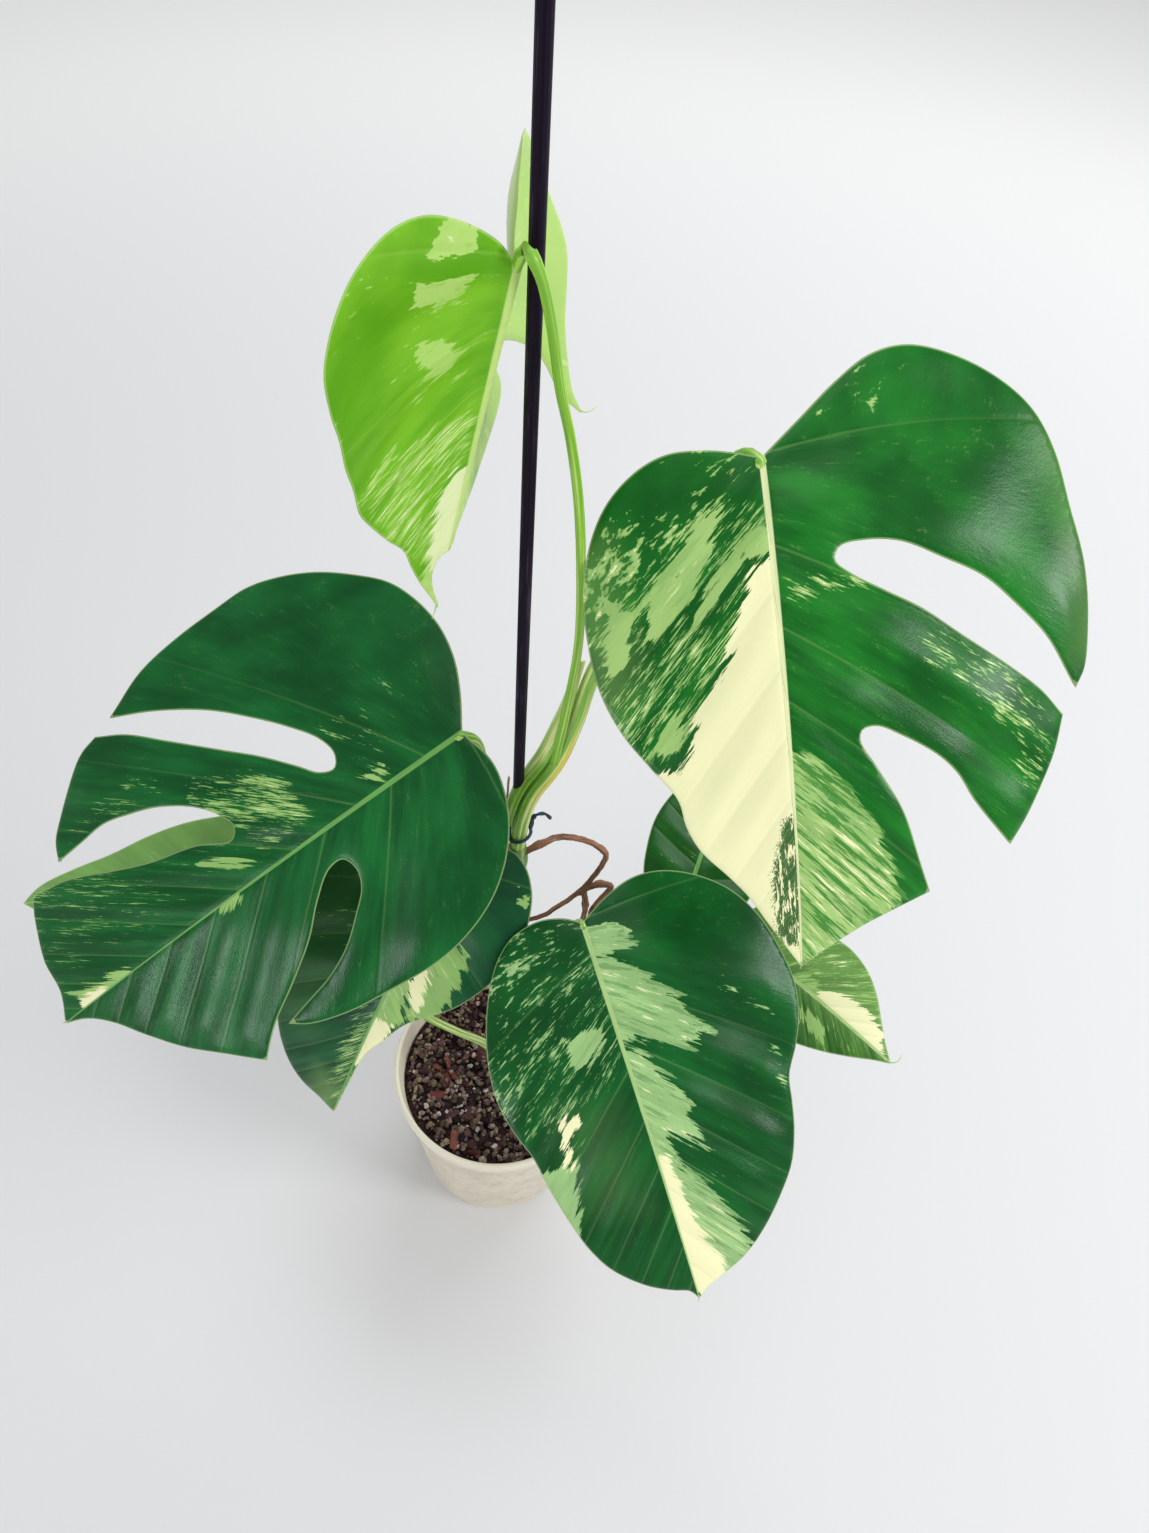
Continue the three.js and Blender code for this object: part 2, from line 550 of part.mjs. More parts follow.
function stalkGeometry(leaf, grow) {
  const [foot, middle, top] = stalks[leaf.name].radii;
  const radiusAt = (t) => (t < 0.5 ? THREE.MathUtils.lerp(foot, middle, Math.min(1, t / 0.22)) : THREE.MathUtils.lerp(middle, top, 2 * t - 1));
  const sideways = Math.abs(leaf.base[0] - STAKE.x) > 60;
  return sweep(stalkCurve(leaf), 18, sideways ? Y_AXIS : X_AXIS, (t) => roundSection(radiusAt(t) + grow, 8));
}

// The sheath: an open trough along the foot of leaf 2's stalk, with both ends narrowed
function sheathGeometry(grow) {
  const curve = stalkCurve(leaves[1]);
  const part = new THREE.CatmullRomCurve3(
    Array.from({ length: 9 }, (_, i) => curve.getPointAt(THREE.MathUtils.lerp(SHEATH.from, SHEATH.to, i / 8))),
  );
  const arc = (radius, from, to) => Array.from({ length: SHEATH.steps + 1 }, (_, i) => {
    const angle = radians(THREE.MathUtils.lerp(from, to, i / SHEATH.steps));
    return [radius * Math.cos(angle) - 2.4, radius * Math.sin(angle) + 1.4];
  });
  return sweep(part, 16, X_AXIS, (t) => {
    const radius = SHEATH.radius * (0.72 + 0.28 * Math.sin(Math.PI * Math.min(1, 1.2 * t)));
    const narrow = 60 * Math.max(0, t - 0.55) + grow;
    return [
      ...arc(radius + grow, SHEATH.start + narrow, SHEATH.end - narrow),
      ...arc(radius - SHEATH.wall - grow, SHEATH.end - narrow, SHEATH.start + narrow),
    ];
  });
}

function makeRoots(cuts) {
  const tubes = ROOTS.runs.map((run) => {
    const curve = curveThrough(run);
    const section = (t) => roundSection(ROOTS.radius * (1.15 - 0.35 * t), 6);
    return solidOf(sweep(curve, Math.ceil(1.6 * run.length), new THREE.Vector3(0.1, 1, 0.3), section));
  });
  const joined = tubes.reduce((a, b) => a.add(b));
  return geometryOf(cuts.reduce((solid, cut) => solid.subtract(cut), joined));
}

// The papery remains of an old sheath beside the stake
function makeDrySheath(cuts) {
  const { path, halfWidth, wall } = DRY_SHEATH;
  const section = (t) => {
    const half = halfWidth * (1 - 0.55 * t);
    return [[wall, -half], [wall * 1.6, 0], [wall, half], [-wall, half], [-wall * 0.4, 0], [-wall, -half]];
  };
  const strip = sweep(curveThrough(path), 10, X_AXIS, section);
  return geometryOf(cuts.reduce((solid, cut) => solid.subtract(cut), solidOf(strip)));
}

// The twist tie: one turn of wire round the stake and the foot of leaf 2's stalk, with a twisted tail
function makeTie(cuts) {
  const wire = TIE.radius;
  const stalk = stalkCurve(leaves[1]).getPointAt(0.05);
  const round = (x, y, radius, from, to) => Array.from({ length: 7 }, (_, i) => {
    const angle = radians(THREE.MathUtils.lerp(from, to, i / 6));
    const px = x + radius * Math.cos(angle);
    const py = y + radius * Math.sin(angle);
    return [px, py, TIE.z + TIE.slope * (px - STAKE.x)];
  });
  const reachStake = STAKE.radius + CLEARANCE + wire;
  const reachStalk = stalks.leaf_2.radii[0] + 2 * CLEARANCE + wire;
  const turn = [
    ...round(stalk.x, stalk.y, reachStalk, 25, -140),
    ...round(STAKE.x, STAKE.y, reachStake, 205, 50),
  ];
  const loop = curveThrough([...turn, [TIE.tail[0][0] - 1.2, TIE.tail[0][1], TIE.tail[0][2] - 1]]);
  const ring = sweep(loop, 32, new THREE.Vector3(0, 0, 1), () => roundSection(wire, 6));
  const start = vector(turn[0]).toArray();
  const tail = sweep(curveThrough([start, ...TIE.tail]), 14, new THREE.Vector3(0, 0, 1), (t) => (
    roundSection(wire * (t < 0.4 ? 1.6 : 1), 6)
  ));
  const joined = solidOf(ring).add(solidOf(tail));
  return geometryOf(cuts.reduce((solid, cut) => solid.subtract(cut), joined));
}

// The assembly
const plant = new THREE.Group();

function addPiece(name, geometry, colour, roughness) {
  const material = new THREE.MeshStandardMaterial({ color: colour, roughness, metalness: 0 });
  const mesh = new THREE.Mesh(geometry, material);
  mesh.name = name;
  plant.add(mesh);
}

const patterns = Object.fromEntries(leaves.map((leaf) => [leaf.name, bladePattern(leaf)]));
const grownStem = solidOf(stemGeometry(CLEARANCE));
const grownStake = solidOf(stakeGeometry(CLEARANCE));
const grownSheath = solidOf(stalkGeometry(leaves[1], CLEARANCE)).add(solidOf(sheathGeometry(CLEARANCE)));

addPiece("pot", makePot(), 0xe6e2d6, 0.45);
addPiece("soil", makeSoil([grownStem, grownStake]), 0x4a372c, 0.95);
addPiece("stake", stakeGeometry(0), 0x2a1a2e, 0.35);
addPiece("stem", stemGeometry(0), 0x8fae5c, 0.5);

for (const leaf of leaves) {
  addPiece(`${leaf.name}_blade`, bladeGeometry(leaf, patterns[leaf.name], 0), leaf.colour, 0.4);
  const grownBlade = solidOf(bladeGeometry(leaf, patterns[leaf.name], CLEARANCE));
  let stalk = solidOf(stalkGeometry(leaf, 0)).subtract(grownBlade).subtract(grownStem).subtract(grownStake);
  if (leaf.name === "leaf_1") stalk = stalk.subtract(grownSheath);
  if (leaf.name === "leaf_2") stalk = stalk.add(solidOf(sheathGeometry(0)).subtract(grownStem).subtract(grownStake));
  addPiece(`${leaf.name}_petiole`, geometryOf(stalk), 0xa9c46c, 0.5);
}

const nearTie = [grownStem, grownStake, grownSheath];
addPiece("aerial_roots", makeRoots([grownStem]), 0x8a6a50, 0.8);
addPiece("dry_sheath", makeDrySheath([grownStem, grownStake]), 0xc9a58a, 0.8);
addPiece("tie", makeTie(nearTie), 0x16384a, 0.5);

export default plant;
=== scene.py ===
# %% [markdown]
# # A potted variegated monstera
# The real thing is a young climbing plant: eight leathery leaves, most of them marbled with cream and pale
# green, on stalks that leave one stem. The stem is tied to a dark stake and stands in bark mix in a thin
# nursery pot. The solids fix every size and place. This script dresses them: leaf skins with veins and
# variegation, finer stalks, roots, pot, and a surface of bark, pale grains and moss.
# The first cell loads the solids.

# %% Load the solids
import json

import bpy
import numpy as np
from mathutils import Matrix, Vector
from mathutils.geometry import delaunay_2d_cdt

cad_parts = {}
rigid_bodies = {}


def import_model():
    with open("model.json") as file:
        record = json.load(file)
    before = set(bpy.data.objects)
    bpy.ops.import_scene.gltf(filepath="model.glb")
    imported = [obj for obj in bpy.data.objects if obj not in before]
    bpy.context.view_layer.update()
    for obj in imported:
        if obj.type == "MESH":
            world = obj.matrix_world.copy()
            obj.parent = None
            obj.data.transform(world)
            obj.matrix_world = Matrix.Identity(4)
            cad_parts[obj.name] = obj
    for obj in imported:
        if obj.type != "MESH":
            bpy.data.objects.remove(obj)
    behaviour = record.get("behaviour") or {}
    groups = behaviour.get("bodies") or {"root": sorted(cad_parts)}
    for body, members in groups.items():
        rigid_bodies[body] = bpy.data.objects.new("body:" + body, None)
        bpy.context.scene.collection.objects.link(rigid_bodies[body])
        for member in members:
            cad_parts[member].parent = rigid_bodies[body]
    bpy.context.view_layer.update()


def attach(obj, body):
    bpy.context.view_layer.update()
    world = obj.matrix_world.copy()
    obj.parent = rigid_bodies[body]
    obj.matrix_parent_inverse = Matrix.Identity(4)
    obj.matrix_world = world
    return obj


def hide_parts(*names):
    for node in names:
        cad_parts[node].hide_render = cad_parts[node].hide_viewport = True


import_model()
MM = 0.001

# %% [markdown]
# ## Camera
# The photograph looks down on the plant from close by, with a wide lens and the phone turned a little.
# The camera could be tracked to a target, but its place and its three directions are known here, so they
# are written straight into its matrix: the picture's right, its up, and the way out of the picture.

# %% Camera
PITCH, ROLL = np.radians(52.9), np.radians(-5.6)
CAMERA_PLACE = np.array([27.0, -262.0, 757.0]) * MM
SENSOR_LONG, FOCAL_PIXELS, PICTURE_HEIGHT = 36.0, 1152.0, 1533.0

forward = np.array([0.0, np.cos(PITCH), -np.sin(PITCH)])
level_right = np.array([1.0, 0.0, 0.0])
level_down = np.array([0.0, -np.sin(PITCH), -np.cos(PITCH)])
right = np.cos(ROLL) * level_right + np.sin(ROLL) * level_down
down = -np.sin(ROLL) * level_right + np.cos(ROLL) * level_down

camera_data = bpy.data.cameras.new("photo_camera")
camera_data.sensor_fit = "AUTO"
camera_data.sensor_width = SENSOR_LONG
camera_data.lens = SENSOR_LONG * FOCAL_PIXELS / PICTURE_HEIGHT
camera_data.clip_start = 0.01
camera = bpy.data.objects.new("photo_camera", camera_data)
bpy.context.scene.collection.objects.link(camera)
turn = Matrix([list(right), list(-down), list(-forward)]).transposed()
camera.matrix_world = Matrix.Translation(Vector(CAMERA_PLACE)) @ turn.to_4x4()
bpy.context.scene.camera = camera
print("lens", round(camera_data.lens, 2), "mm")

# %% [markdown]
# ## Light, air and floor
# The plant stood in a white corner with daylight from above and from the right, so shadows are faint and
# the leaves shine in broad soft patches. One bright even world gives the fill. Where a leaf would mirror the
# real window into the lens was worked out from the leaves' slopes, and a soft panel stands there: to the
# right for the leaf on the right, and low in front for the two below, with a narrow fan that spares the
# floor. Two more panels hang above. The floor's colour holds painted light: it is painted greyer near the
# plant, as painted shade, and paler away from it, as painted brightness of a white corner.

# %% Light, air and floor
EXPOSURE = -0.28
AIR_COLOUR, AIR_STRENGTH = (0.95, 0.97, 1.0, 1.0), 0.66
FLOOR_HALF = 12.0
MIDDLE = (0.0, 0.0, 0.4)

scene = bpy.context.scene
scene.view_settings.view_transform = "Standard"
scene.view_settings.look = "None"
scene.view_settings.exposure = EXPOSURE
world = bpy.data.worlds.new("white_room")
scene.world = world
world.use_nodes = True
world.node_tree.nodes["Background"].inputs["Color"].default_value = AIR_COLOUR
world.node_tree.nodes["Background"].inputs["Strength"].default_value = AIR_STRENGTH


def add_panel(name, place, target, width, height, watts, tint, spread=180):
    """A soft rectangular lamp at place that faces target, both in metres; spread is its fan in degrees."""
    data = bpy.data.lights.new(name, "AREA")
    data.shape = "RECTANGLE"
    data.size, data.size_y = width, height
    data.energy = watts
    data.color = tint
    data.spread = np.radians(spread)
    lamp = bpy.data.objects.new(name, data)
    lamp.location = place
    lamp.rotation_euler = (Vector(target) - Vector(place)).to_track_quat("-Z", "Y").to_euler()
    lamp.visible_camera = False
    scene.collection.objects.link(lamp)


add_panel("sky_window", (0.55, 1.3, 1.75), MIDDLE, 1.5, 0.9, 20.0, (0.96, 0.98, 1.0))
add_panel("right_window", (1.73, -0.46, 1.12), (0.12, -0.03, 0.45), 0.6, 0.6, 19.0, (0.98, 0.99, 1.0))
add_panel("front_window", (-0.98, -1.62, 0.50), (-0.1, -0.03, 0.36), 0.6, 0.4, 1.8, (0.94, 0.97, 1.0), 70)
add_panel("top_glow", (0.3, -0.4, 2.1), MIDDLE, 1.3, 1.3, 9.0, (1.0, 1.0, 1.0))

floor_mesh = bpy.data.meshes.new("pale_floor")
corners = [(x, y, 0.0) for x, y in ((-1, -1), (1, -1), (1, 1), (-1, 1))]
floor_mesh.from_pydata([(x * FLOOR_HALF, y * FLOOR_HALF, z) for x, y, z in corners], [], [(0, 1, 2, 3)])
floor = bpy.data.objects.new("pale_floor", floor_mesh)
scene.collection.objects.link(floor)
print("lamps", len(bpy.data.lights))

# %% [markdown]
# ## A workshop for materials
# Every finish is written as sums on values that vary over the surface. Placing Math nodes by hand is slow
# to read, so a small class wraps a socket: adding or multiplying two of them adds the Math node. Colours
# and vectors have their own Mix and Vector Math nodes, and all other nodes come from one method.

# %% Sockets that calculate
class Signal:
    """A node's output. Python's operators on it add Math nodes, with a number on either side."""

    def __init__(self, paint, socket):
        self.paint = paint
        self.socket = socket

    def __add__(self, other):
        return self.paint.math("ADD", self, other)

    def __sub__(self, other):
        return self.paint.math("SUBTRACT", self, other)

    def __rsub__(self, other):
        return self.paint.math("SUBTRACT", other, self)

    def __mul__(self, other):
        return self.paint.math("MULTIPLY", self, other)

    def __abs__(self):
        return self.paint.math("ABSOLUTE", self)

    __radd__ = __add__
    __rmul__ = __mul__


class Paint:
    """A material in the making, with one Principled shader at its end."""

    def __init__(self, name, roughness=0.5, specular=0.5, subsurface=0.0, scatter=(0.2, 0.4, 0.1)):
        self.material = bpy.data.materials.new(name)
        self.material.use_nodes = True
        self.tree = self.material.node_tree
        self.shader = self.tree.nodes["Principled BSDF"]
        self.shader.inputs["Roughness"].default_value = roughness
        self.shader.inputs["Specular IOR Level"].default_value = specular
        self.shader.inputs["Subsurface Weight"].default_value = subsurface
        self.shader.inputs["Subsurface Radius"].default_value = scatter
        self.shader.inputs["Subsurface Scale"].default_value = 2.0 * MM

    def put(self, socket, value):
        """Link a Signal to a socket, or set a number or colour on it."""
        if isinstance(value, Signal):
            self.tree.links.new(value.socket, socket)
        else:
            socket.default_value = value

    def node(self, kind, settings, values, output=0):
        """Add a node, apply its settings, fill its sockets by name or number, and return one output."""
        made = self.tree.nodes.new(kind)
        for key, value in settings.items():
            setattr(made, key, value)
        for key, value in values.items():
            self.put(made.inputs[key], value)
        return Signal(self, made.outputs[output])

    def math(self, operation, *values):
        return self.node("ShaderNodeMath", {"operation": operation}, dict(enumerate(values)))

    def mix(self, factor, first, second):
        """Colour that goes from first to second as factor goes from 0 to 1."""
        settings = {"data_type": "RGBA", "clamp_factor": True}
        return self.node("ShaderNodeMix", settings, {0: factor, 6: first, 7: second}, 2)

    def step(self, value, low, high):
        """0 below low, 1 above high, and a smooth rise between."""
        settings = {"interpolation_type": "SMOOTHSTEP", "clamp": True}
        return self.node("ShaderNodeMapRange", settings, {"Value": value, "From Min": low, "From Max": high})

    def attribute(self, name, output="Fac"):
        return self.node("ShaderNodeAttribute", {"attribute_name": name}, {}, output)

    def parts(self, vector):
        split = self.node("ShaderNodeSeparateXYZ", {}, {0: vector})
        return [Signal(self, output) for output in split.socket.node.outputs]

    def three(self, name):
        """The three numbers of a vector attribute."""
        return self.parts(self.attribute(name, "Vector"))

    def place(self):
        """Object coordinates in millimetres."""
        here = self.node("ShaderNodeTexCoord", {}, {}, "Object")
        return self.node("ShaderNodeVectorMath", {"operation": "SCALE"}, {0: here, "Scale": 1.0 / MM})

    def noise(self, vector, scale, detail=2.0, roughness=0.5):
        values = {"Vector": vector, "Scale": scale, "Detail": detail, "Roughness": roughness}
        return self.node("ShaderNodeTexNoise", {"noise_dimensions": "3D"}, values, "Fac")

    def stretched(self, x, y, z, detail=2.0, roughness=0.5):
        """Noise at a point whose coordinates were scaled one by one, so that its grain is drawn out."""
        point = self.node("ShaderNodeCombineXYZ", {}, {0: x, 1: y, 2: z})
        return self.noise(point, 1.0, detail, roughness)

    def finish(self, tone, roughness=None, height=None, relief=0.2):
        """Feed the shader a colour, and where given a roughness, and a height in millimetres to bump."""
        self.put(self.shader.inputs["Base Color"], tone)
        if roughness is not None:
            self.put(self.shader.inputs["Roughness"], roughness)
        if height is not None:
            values = {"Strength": 1.0, "Distance": relief * MM, "Height": height}
            self.put(self.shader.inputs["Normal"], self.node("ShaderNodeBump", {}, values))
        return self.material


def colour(red, green, blue):
    """A screen colour from 0 to 255 as the linear colour that a shader takes."""
    share = np.array([red, green, blue]) / 255.0
    linear = np.where(share <= 0.04045, share / 12.92, ((share + 0.055) / 1.055) ** 2.4)
    return (*linear.tolist(), 1.0)


SQUARE_METRE = 1e-6
p = Paint("pale_floor", roughness=0.7, specular=0.2)
x, y, _ = p.parts(p.place())
# painted shade and light: the floor is painted greyer near the plant and brighter far off
painted_shade_fade = p.step((x * x + y * y) * SQUARE_METRE, 0.1, 3.0)
floor_mesh.materials.append(p.finish(p.mix(painted_shade_fade, colour(222, 221, 221), colour(252, 251, 248))))
print("floor painted")

# %% [markdown]
# ## Shapes from arrays
# All pieces are grids of points worked out at once. The helpers here give a smooth line through a few
# points, a mesh object from arrays, and a tube or trough whose outline may change along its line. The line
# is the same centripetal Catmull-Rom spline that the solids use, so both follow the same path.

# %% Smooth lines
SPLINE_STEPS = 40


def smooth_line(points, step):
    """Centripetal Catmull-Rom line through points, resampled at about step apart.

    Between two points with knot gap d1 = distance ** 0.5, the end tangents weigh the neighbouring chords by
    their own knot gaps, and a cubic with those tangents joins them. The ends are mirrored outwards.
    """
    p = np.asarray(points, float)
    p = np.vstack([2 * p[0] - p[1], p, 2 * p[-1] - p[-2]])
    gap = np.sqrt(np.linalg.norm(np.diff(p, axis=0), axis=1))[:, None]
    d0, d1, d2 = gap[:-2], gap[1:-1], gap[2:]
    a, b, c, d = p[:-3], p[1:-2], p[2:-1], p[3:]
    first = ((b - a) / d0 - (c - a) / (d0 + d1) + (c - b) / d1) * d1
    second = ((c - b) / d1 - (d - b) / (d1 + d2) + (d - c) / d2) * d1
    t = np.linspace(0.0, 1.0, SPLINE_STEPS, endpoint=False)[None, :, None]
    b, c, first, second = (x[:, None, :] for x in (b, c, first, second))
    cubic = b + first * t + (3 * (c - b) - 2 * first - second) * t**2 + (2 * (b - c) + first + second) * t**3
    fine = np.vstack([cubic.reshape(-1, p.shape[1]), p[-2]])
    run = np.concatenate([[0.0], np.cumsum(np.linalg.norm(np.diff(fine, axis=0), axis=1))])
    count = max(2, int(round(run[-1] / step)))
    at = np.linspace(0.0, run[-1], count + 1)
    return np.stack([np.interp(at, run, fine[:, k]) for k in range(p.shape[1])], axis=1)


def unit(vectors):
    return vectors / np.maximum(np.linalg.norm(vectors, axis=-1, keepdims=True), 1e-9)


# %% Mesh objects
def make_piece(name, points, faces, nodes=(), values=None, smooth=True):
    """Turn points in millimetres and a list of face arrays into an object in metres, riding on the root.

    values holds one array per named attribute, with one row per point. nodes are the solids it replaces.
    """
    mesh = bpy.data.meshes.new(name)
    rows = [row for block in faces for row in np.asarray(block).tolist()]
    mesh.from_pydata((np.asarray(points) * MM).tolist(), [], rows)
    for key, array in (values or {}).items():
        kind = "FLOAT" if array.ndim == 1 else "FLOAT_VECTOR"
        field = "value" if array.ndim == 1 else "vector"
        made = mesh.attributes.new(key, kind, "POINT")
        made.data.foreach_set(field, np.ascontiguousarray(array, dtype=np.float32).ravel())
    mesh.polygons.foreach_set("use_smooth", np.full(len(mesh.polygons), smooth))
    mesh.validate()
    mesh.update()
    piece = bpy.data.objects.new(name, mesh)
    scene.collection.objects.link(piece)
    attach(piece, "root")
    if nodes:
        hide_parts(*nodes)
    print(name, len(points), "points", len(rows), "faces")
    return piece


def join_parts(*parts):
    """Join (points, faces, values) parts into one, with the later parts' faces counted on."""
    offset, points, faces = 0, [], []
    for part_points, part_faces, _ in parts:
        points.append(part_points)
        faces += [np.asarray(block) + offset for block in part_faces]
        offset += len(part_points)
    keys = parts[0][2].keys()
    return np.vstack(points), faces, {key: np.concatenate([part[2][key] for part in parts]) for key in keys}


# %% Rings and their faces
def ring_faces(rows, sides):
    """Quads between neighbouring rings, facing outwards where the outline climbs on its outer side."""
    i, j = np.meshgrid(np.arange(rows - 1), np.arange(sides), indexing="ij")
    i, k = i * sides, (j + 1) % sides
    return np.stack([i + j, i + k, i + sides + k, i + sides + j], axis=-1).reshape(-1, 4)


def closed_faces(rows, sides):
    """The faces between rings, and a fan at each end to the two tips that are listed after the rings."""
    j = np.arange(sides)
    k = (j + 1) % sides
    last, tip = (rows - 1) * sides, rows * sides
    first_fan = np.stack([np.full(sides, tip), k, j], axis=1)
    last_fan = np.stack([last + j, last + k, np.full(sides, tip + 1)], axis=1)
    return [ring_faces(rows, sides), first_fan, last_fan]


def lathe_rings(outline, segments):
    """Points of an outline of (radius, height) turned about Z, one ring per outline point."""
    angle = np.linspace(0.0, 2 * np.pi, segments, endpoint=False)
    r, z = np.asarray(outline, float).T
    x = r[:, None] * np.cos(angle)
    y = r[:, None] * np.sin(angle)
    return np.stack([x, y, np.broadcast_to(z[:, None], x.shape)], axis=-1)


# %% Tubes and troughs
END_SHRINK, END_REACH, TIP_REACH = 0.7, 0.35, 0.5
LEVEL_RIGHT = np.array([1.0, 0.0, 0.0])


def frame_along(line, reference):
    """Directions of a line's cross-sections: its tangent, across, which is the reference with the tangent
    taken out, and along, which is square to both."""
    tangent = unit(np.gradient(line, axis=0))
    across = unit(reference - tangent * (tangent @ reference)[:, None])
    return tangent, across, np.cross(tangent, across)


def tube(line, radius, sides=20, reference=LEVEL_RIGHT):
    """A closed tube: point = line + radius (cos a across + sin a along), with rounded ends.

    radius is one number per line point, or an array with one number per point and side. The attribute grain
    holds cos a, sin a and the distance run along the line.
    """
    tangent, across, along = frame_along(line, np.asarray(reference, float))
    angle = np.linspace(0.0, 2 * np.pi, sides, endpoint=False)
    radius = np.asarray(radius, float)
    size = np.broadcast_to(radius.reshape(-1, 1) if radius.ndim < 2 else radius, (len(line), sides))
    cosine, sine = np.cos(angle)[None, :, None], np.sin(angle)[None, :, None]
    ring = cosine * across[:, None, :] + sine * along[:, None, :]
    body = line[:, None, :] + size[:, :, None] * ring
    bulge = size[[0, -1]].mean(axis=1)[:, None]
    near = line[0] + (body[0] - line[0]) * END_SHRINK - tangent[0] * bulge[0] * END_REACH
    far = line[-1] + (body[-1] - line[-1]) * END_SHRINK + tangent[-1] * bulge[1] * END_REACH
    grid = np.concatenate([near[None], body, far[None]])
    tips = [line[0] - tangent[0] * bulge[0] * TIP_REACH, line[-1] + tangent[-1] * bulge[1] * TIP_REACH]
    run = np.concatenate([[0.0], np.cumsum(np.linalg.norm(np.diff(line, axis=0), axis=1))])
    run = np.concatenate([run[:1], run, run[-1:]])
    turn_at = np.concatenate([np.tile(angle, len(grid)), [0.0, 0.0]])
    reach = np.concatenate([np.repeat(run, sides), run[[0, -1]]])
    grain = np.stack([np.cos(turn_at), np.sin(turn_at), reach], axis=1)
    return np.vstack([grid.reshape(-1, 3), tips]), closed_faces(len(grid), sides), {"grain": grain}


def trough(line, outer, inner):
    """A strip along line, closed at both ends: its section goes out along outer and back along inner, which
    are given in the cross-section's own two directions."""
    _, across, along = frame_along(line, LEVEL_RIGHT)
    section = np.concatenate([outer, inner[:, ::-1]], axis=1)
    points = line[:, None, :] + section[..., :1] * across[:, None, :] + section[..., 1:] * along[:, None, :]
    rows, sides = points.shape[:2]
    k = np.arange(sides // 2 - 1)
    strip = np.stack([k, k + 1, sides - 2 - k, sides - 1 - k], axis=1)
    return points.reshape(-1, 3), [ring_faces(rows, sides), strip[:, ::-1], strip + (rows - 1) * sides]


print("helpers ready")

# %% [markdown]
# ## The leaves' measures
# A leaf is drawn flat and then bent, in the solids and here alike, from the same values. u runs across the
# blade, to the right with the tip down, and v from the stalk to the tip, both in millimetres. Each margin
# is a chain of smooth runs that meet at corners: the deep slits are part of the margin. Angles are in
# degrees. vein_slope pairs a start on the midrib with the slope at which the side vein leaves it, and
# left_slope is the same for the left half, where that differs.

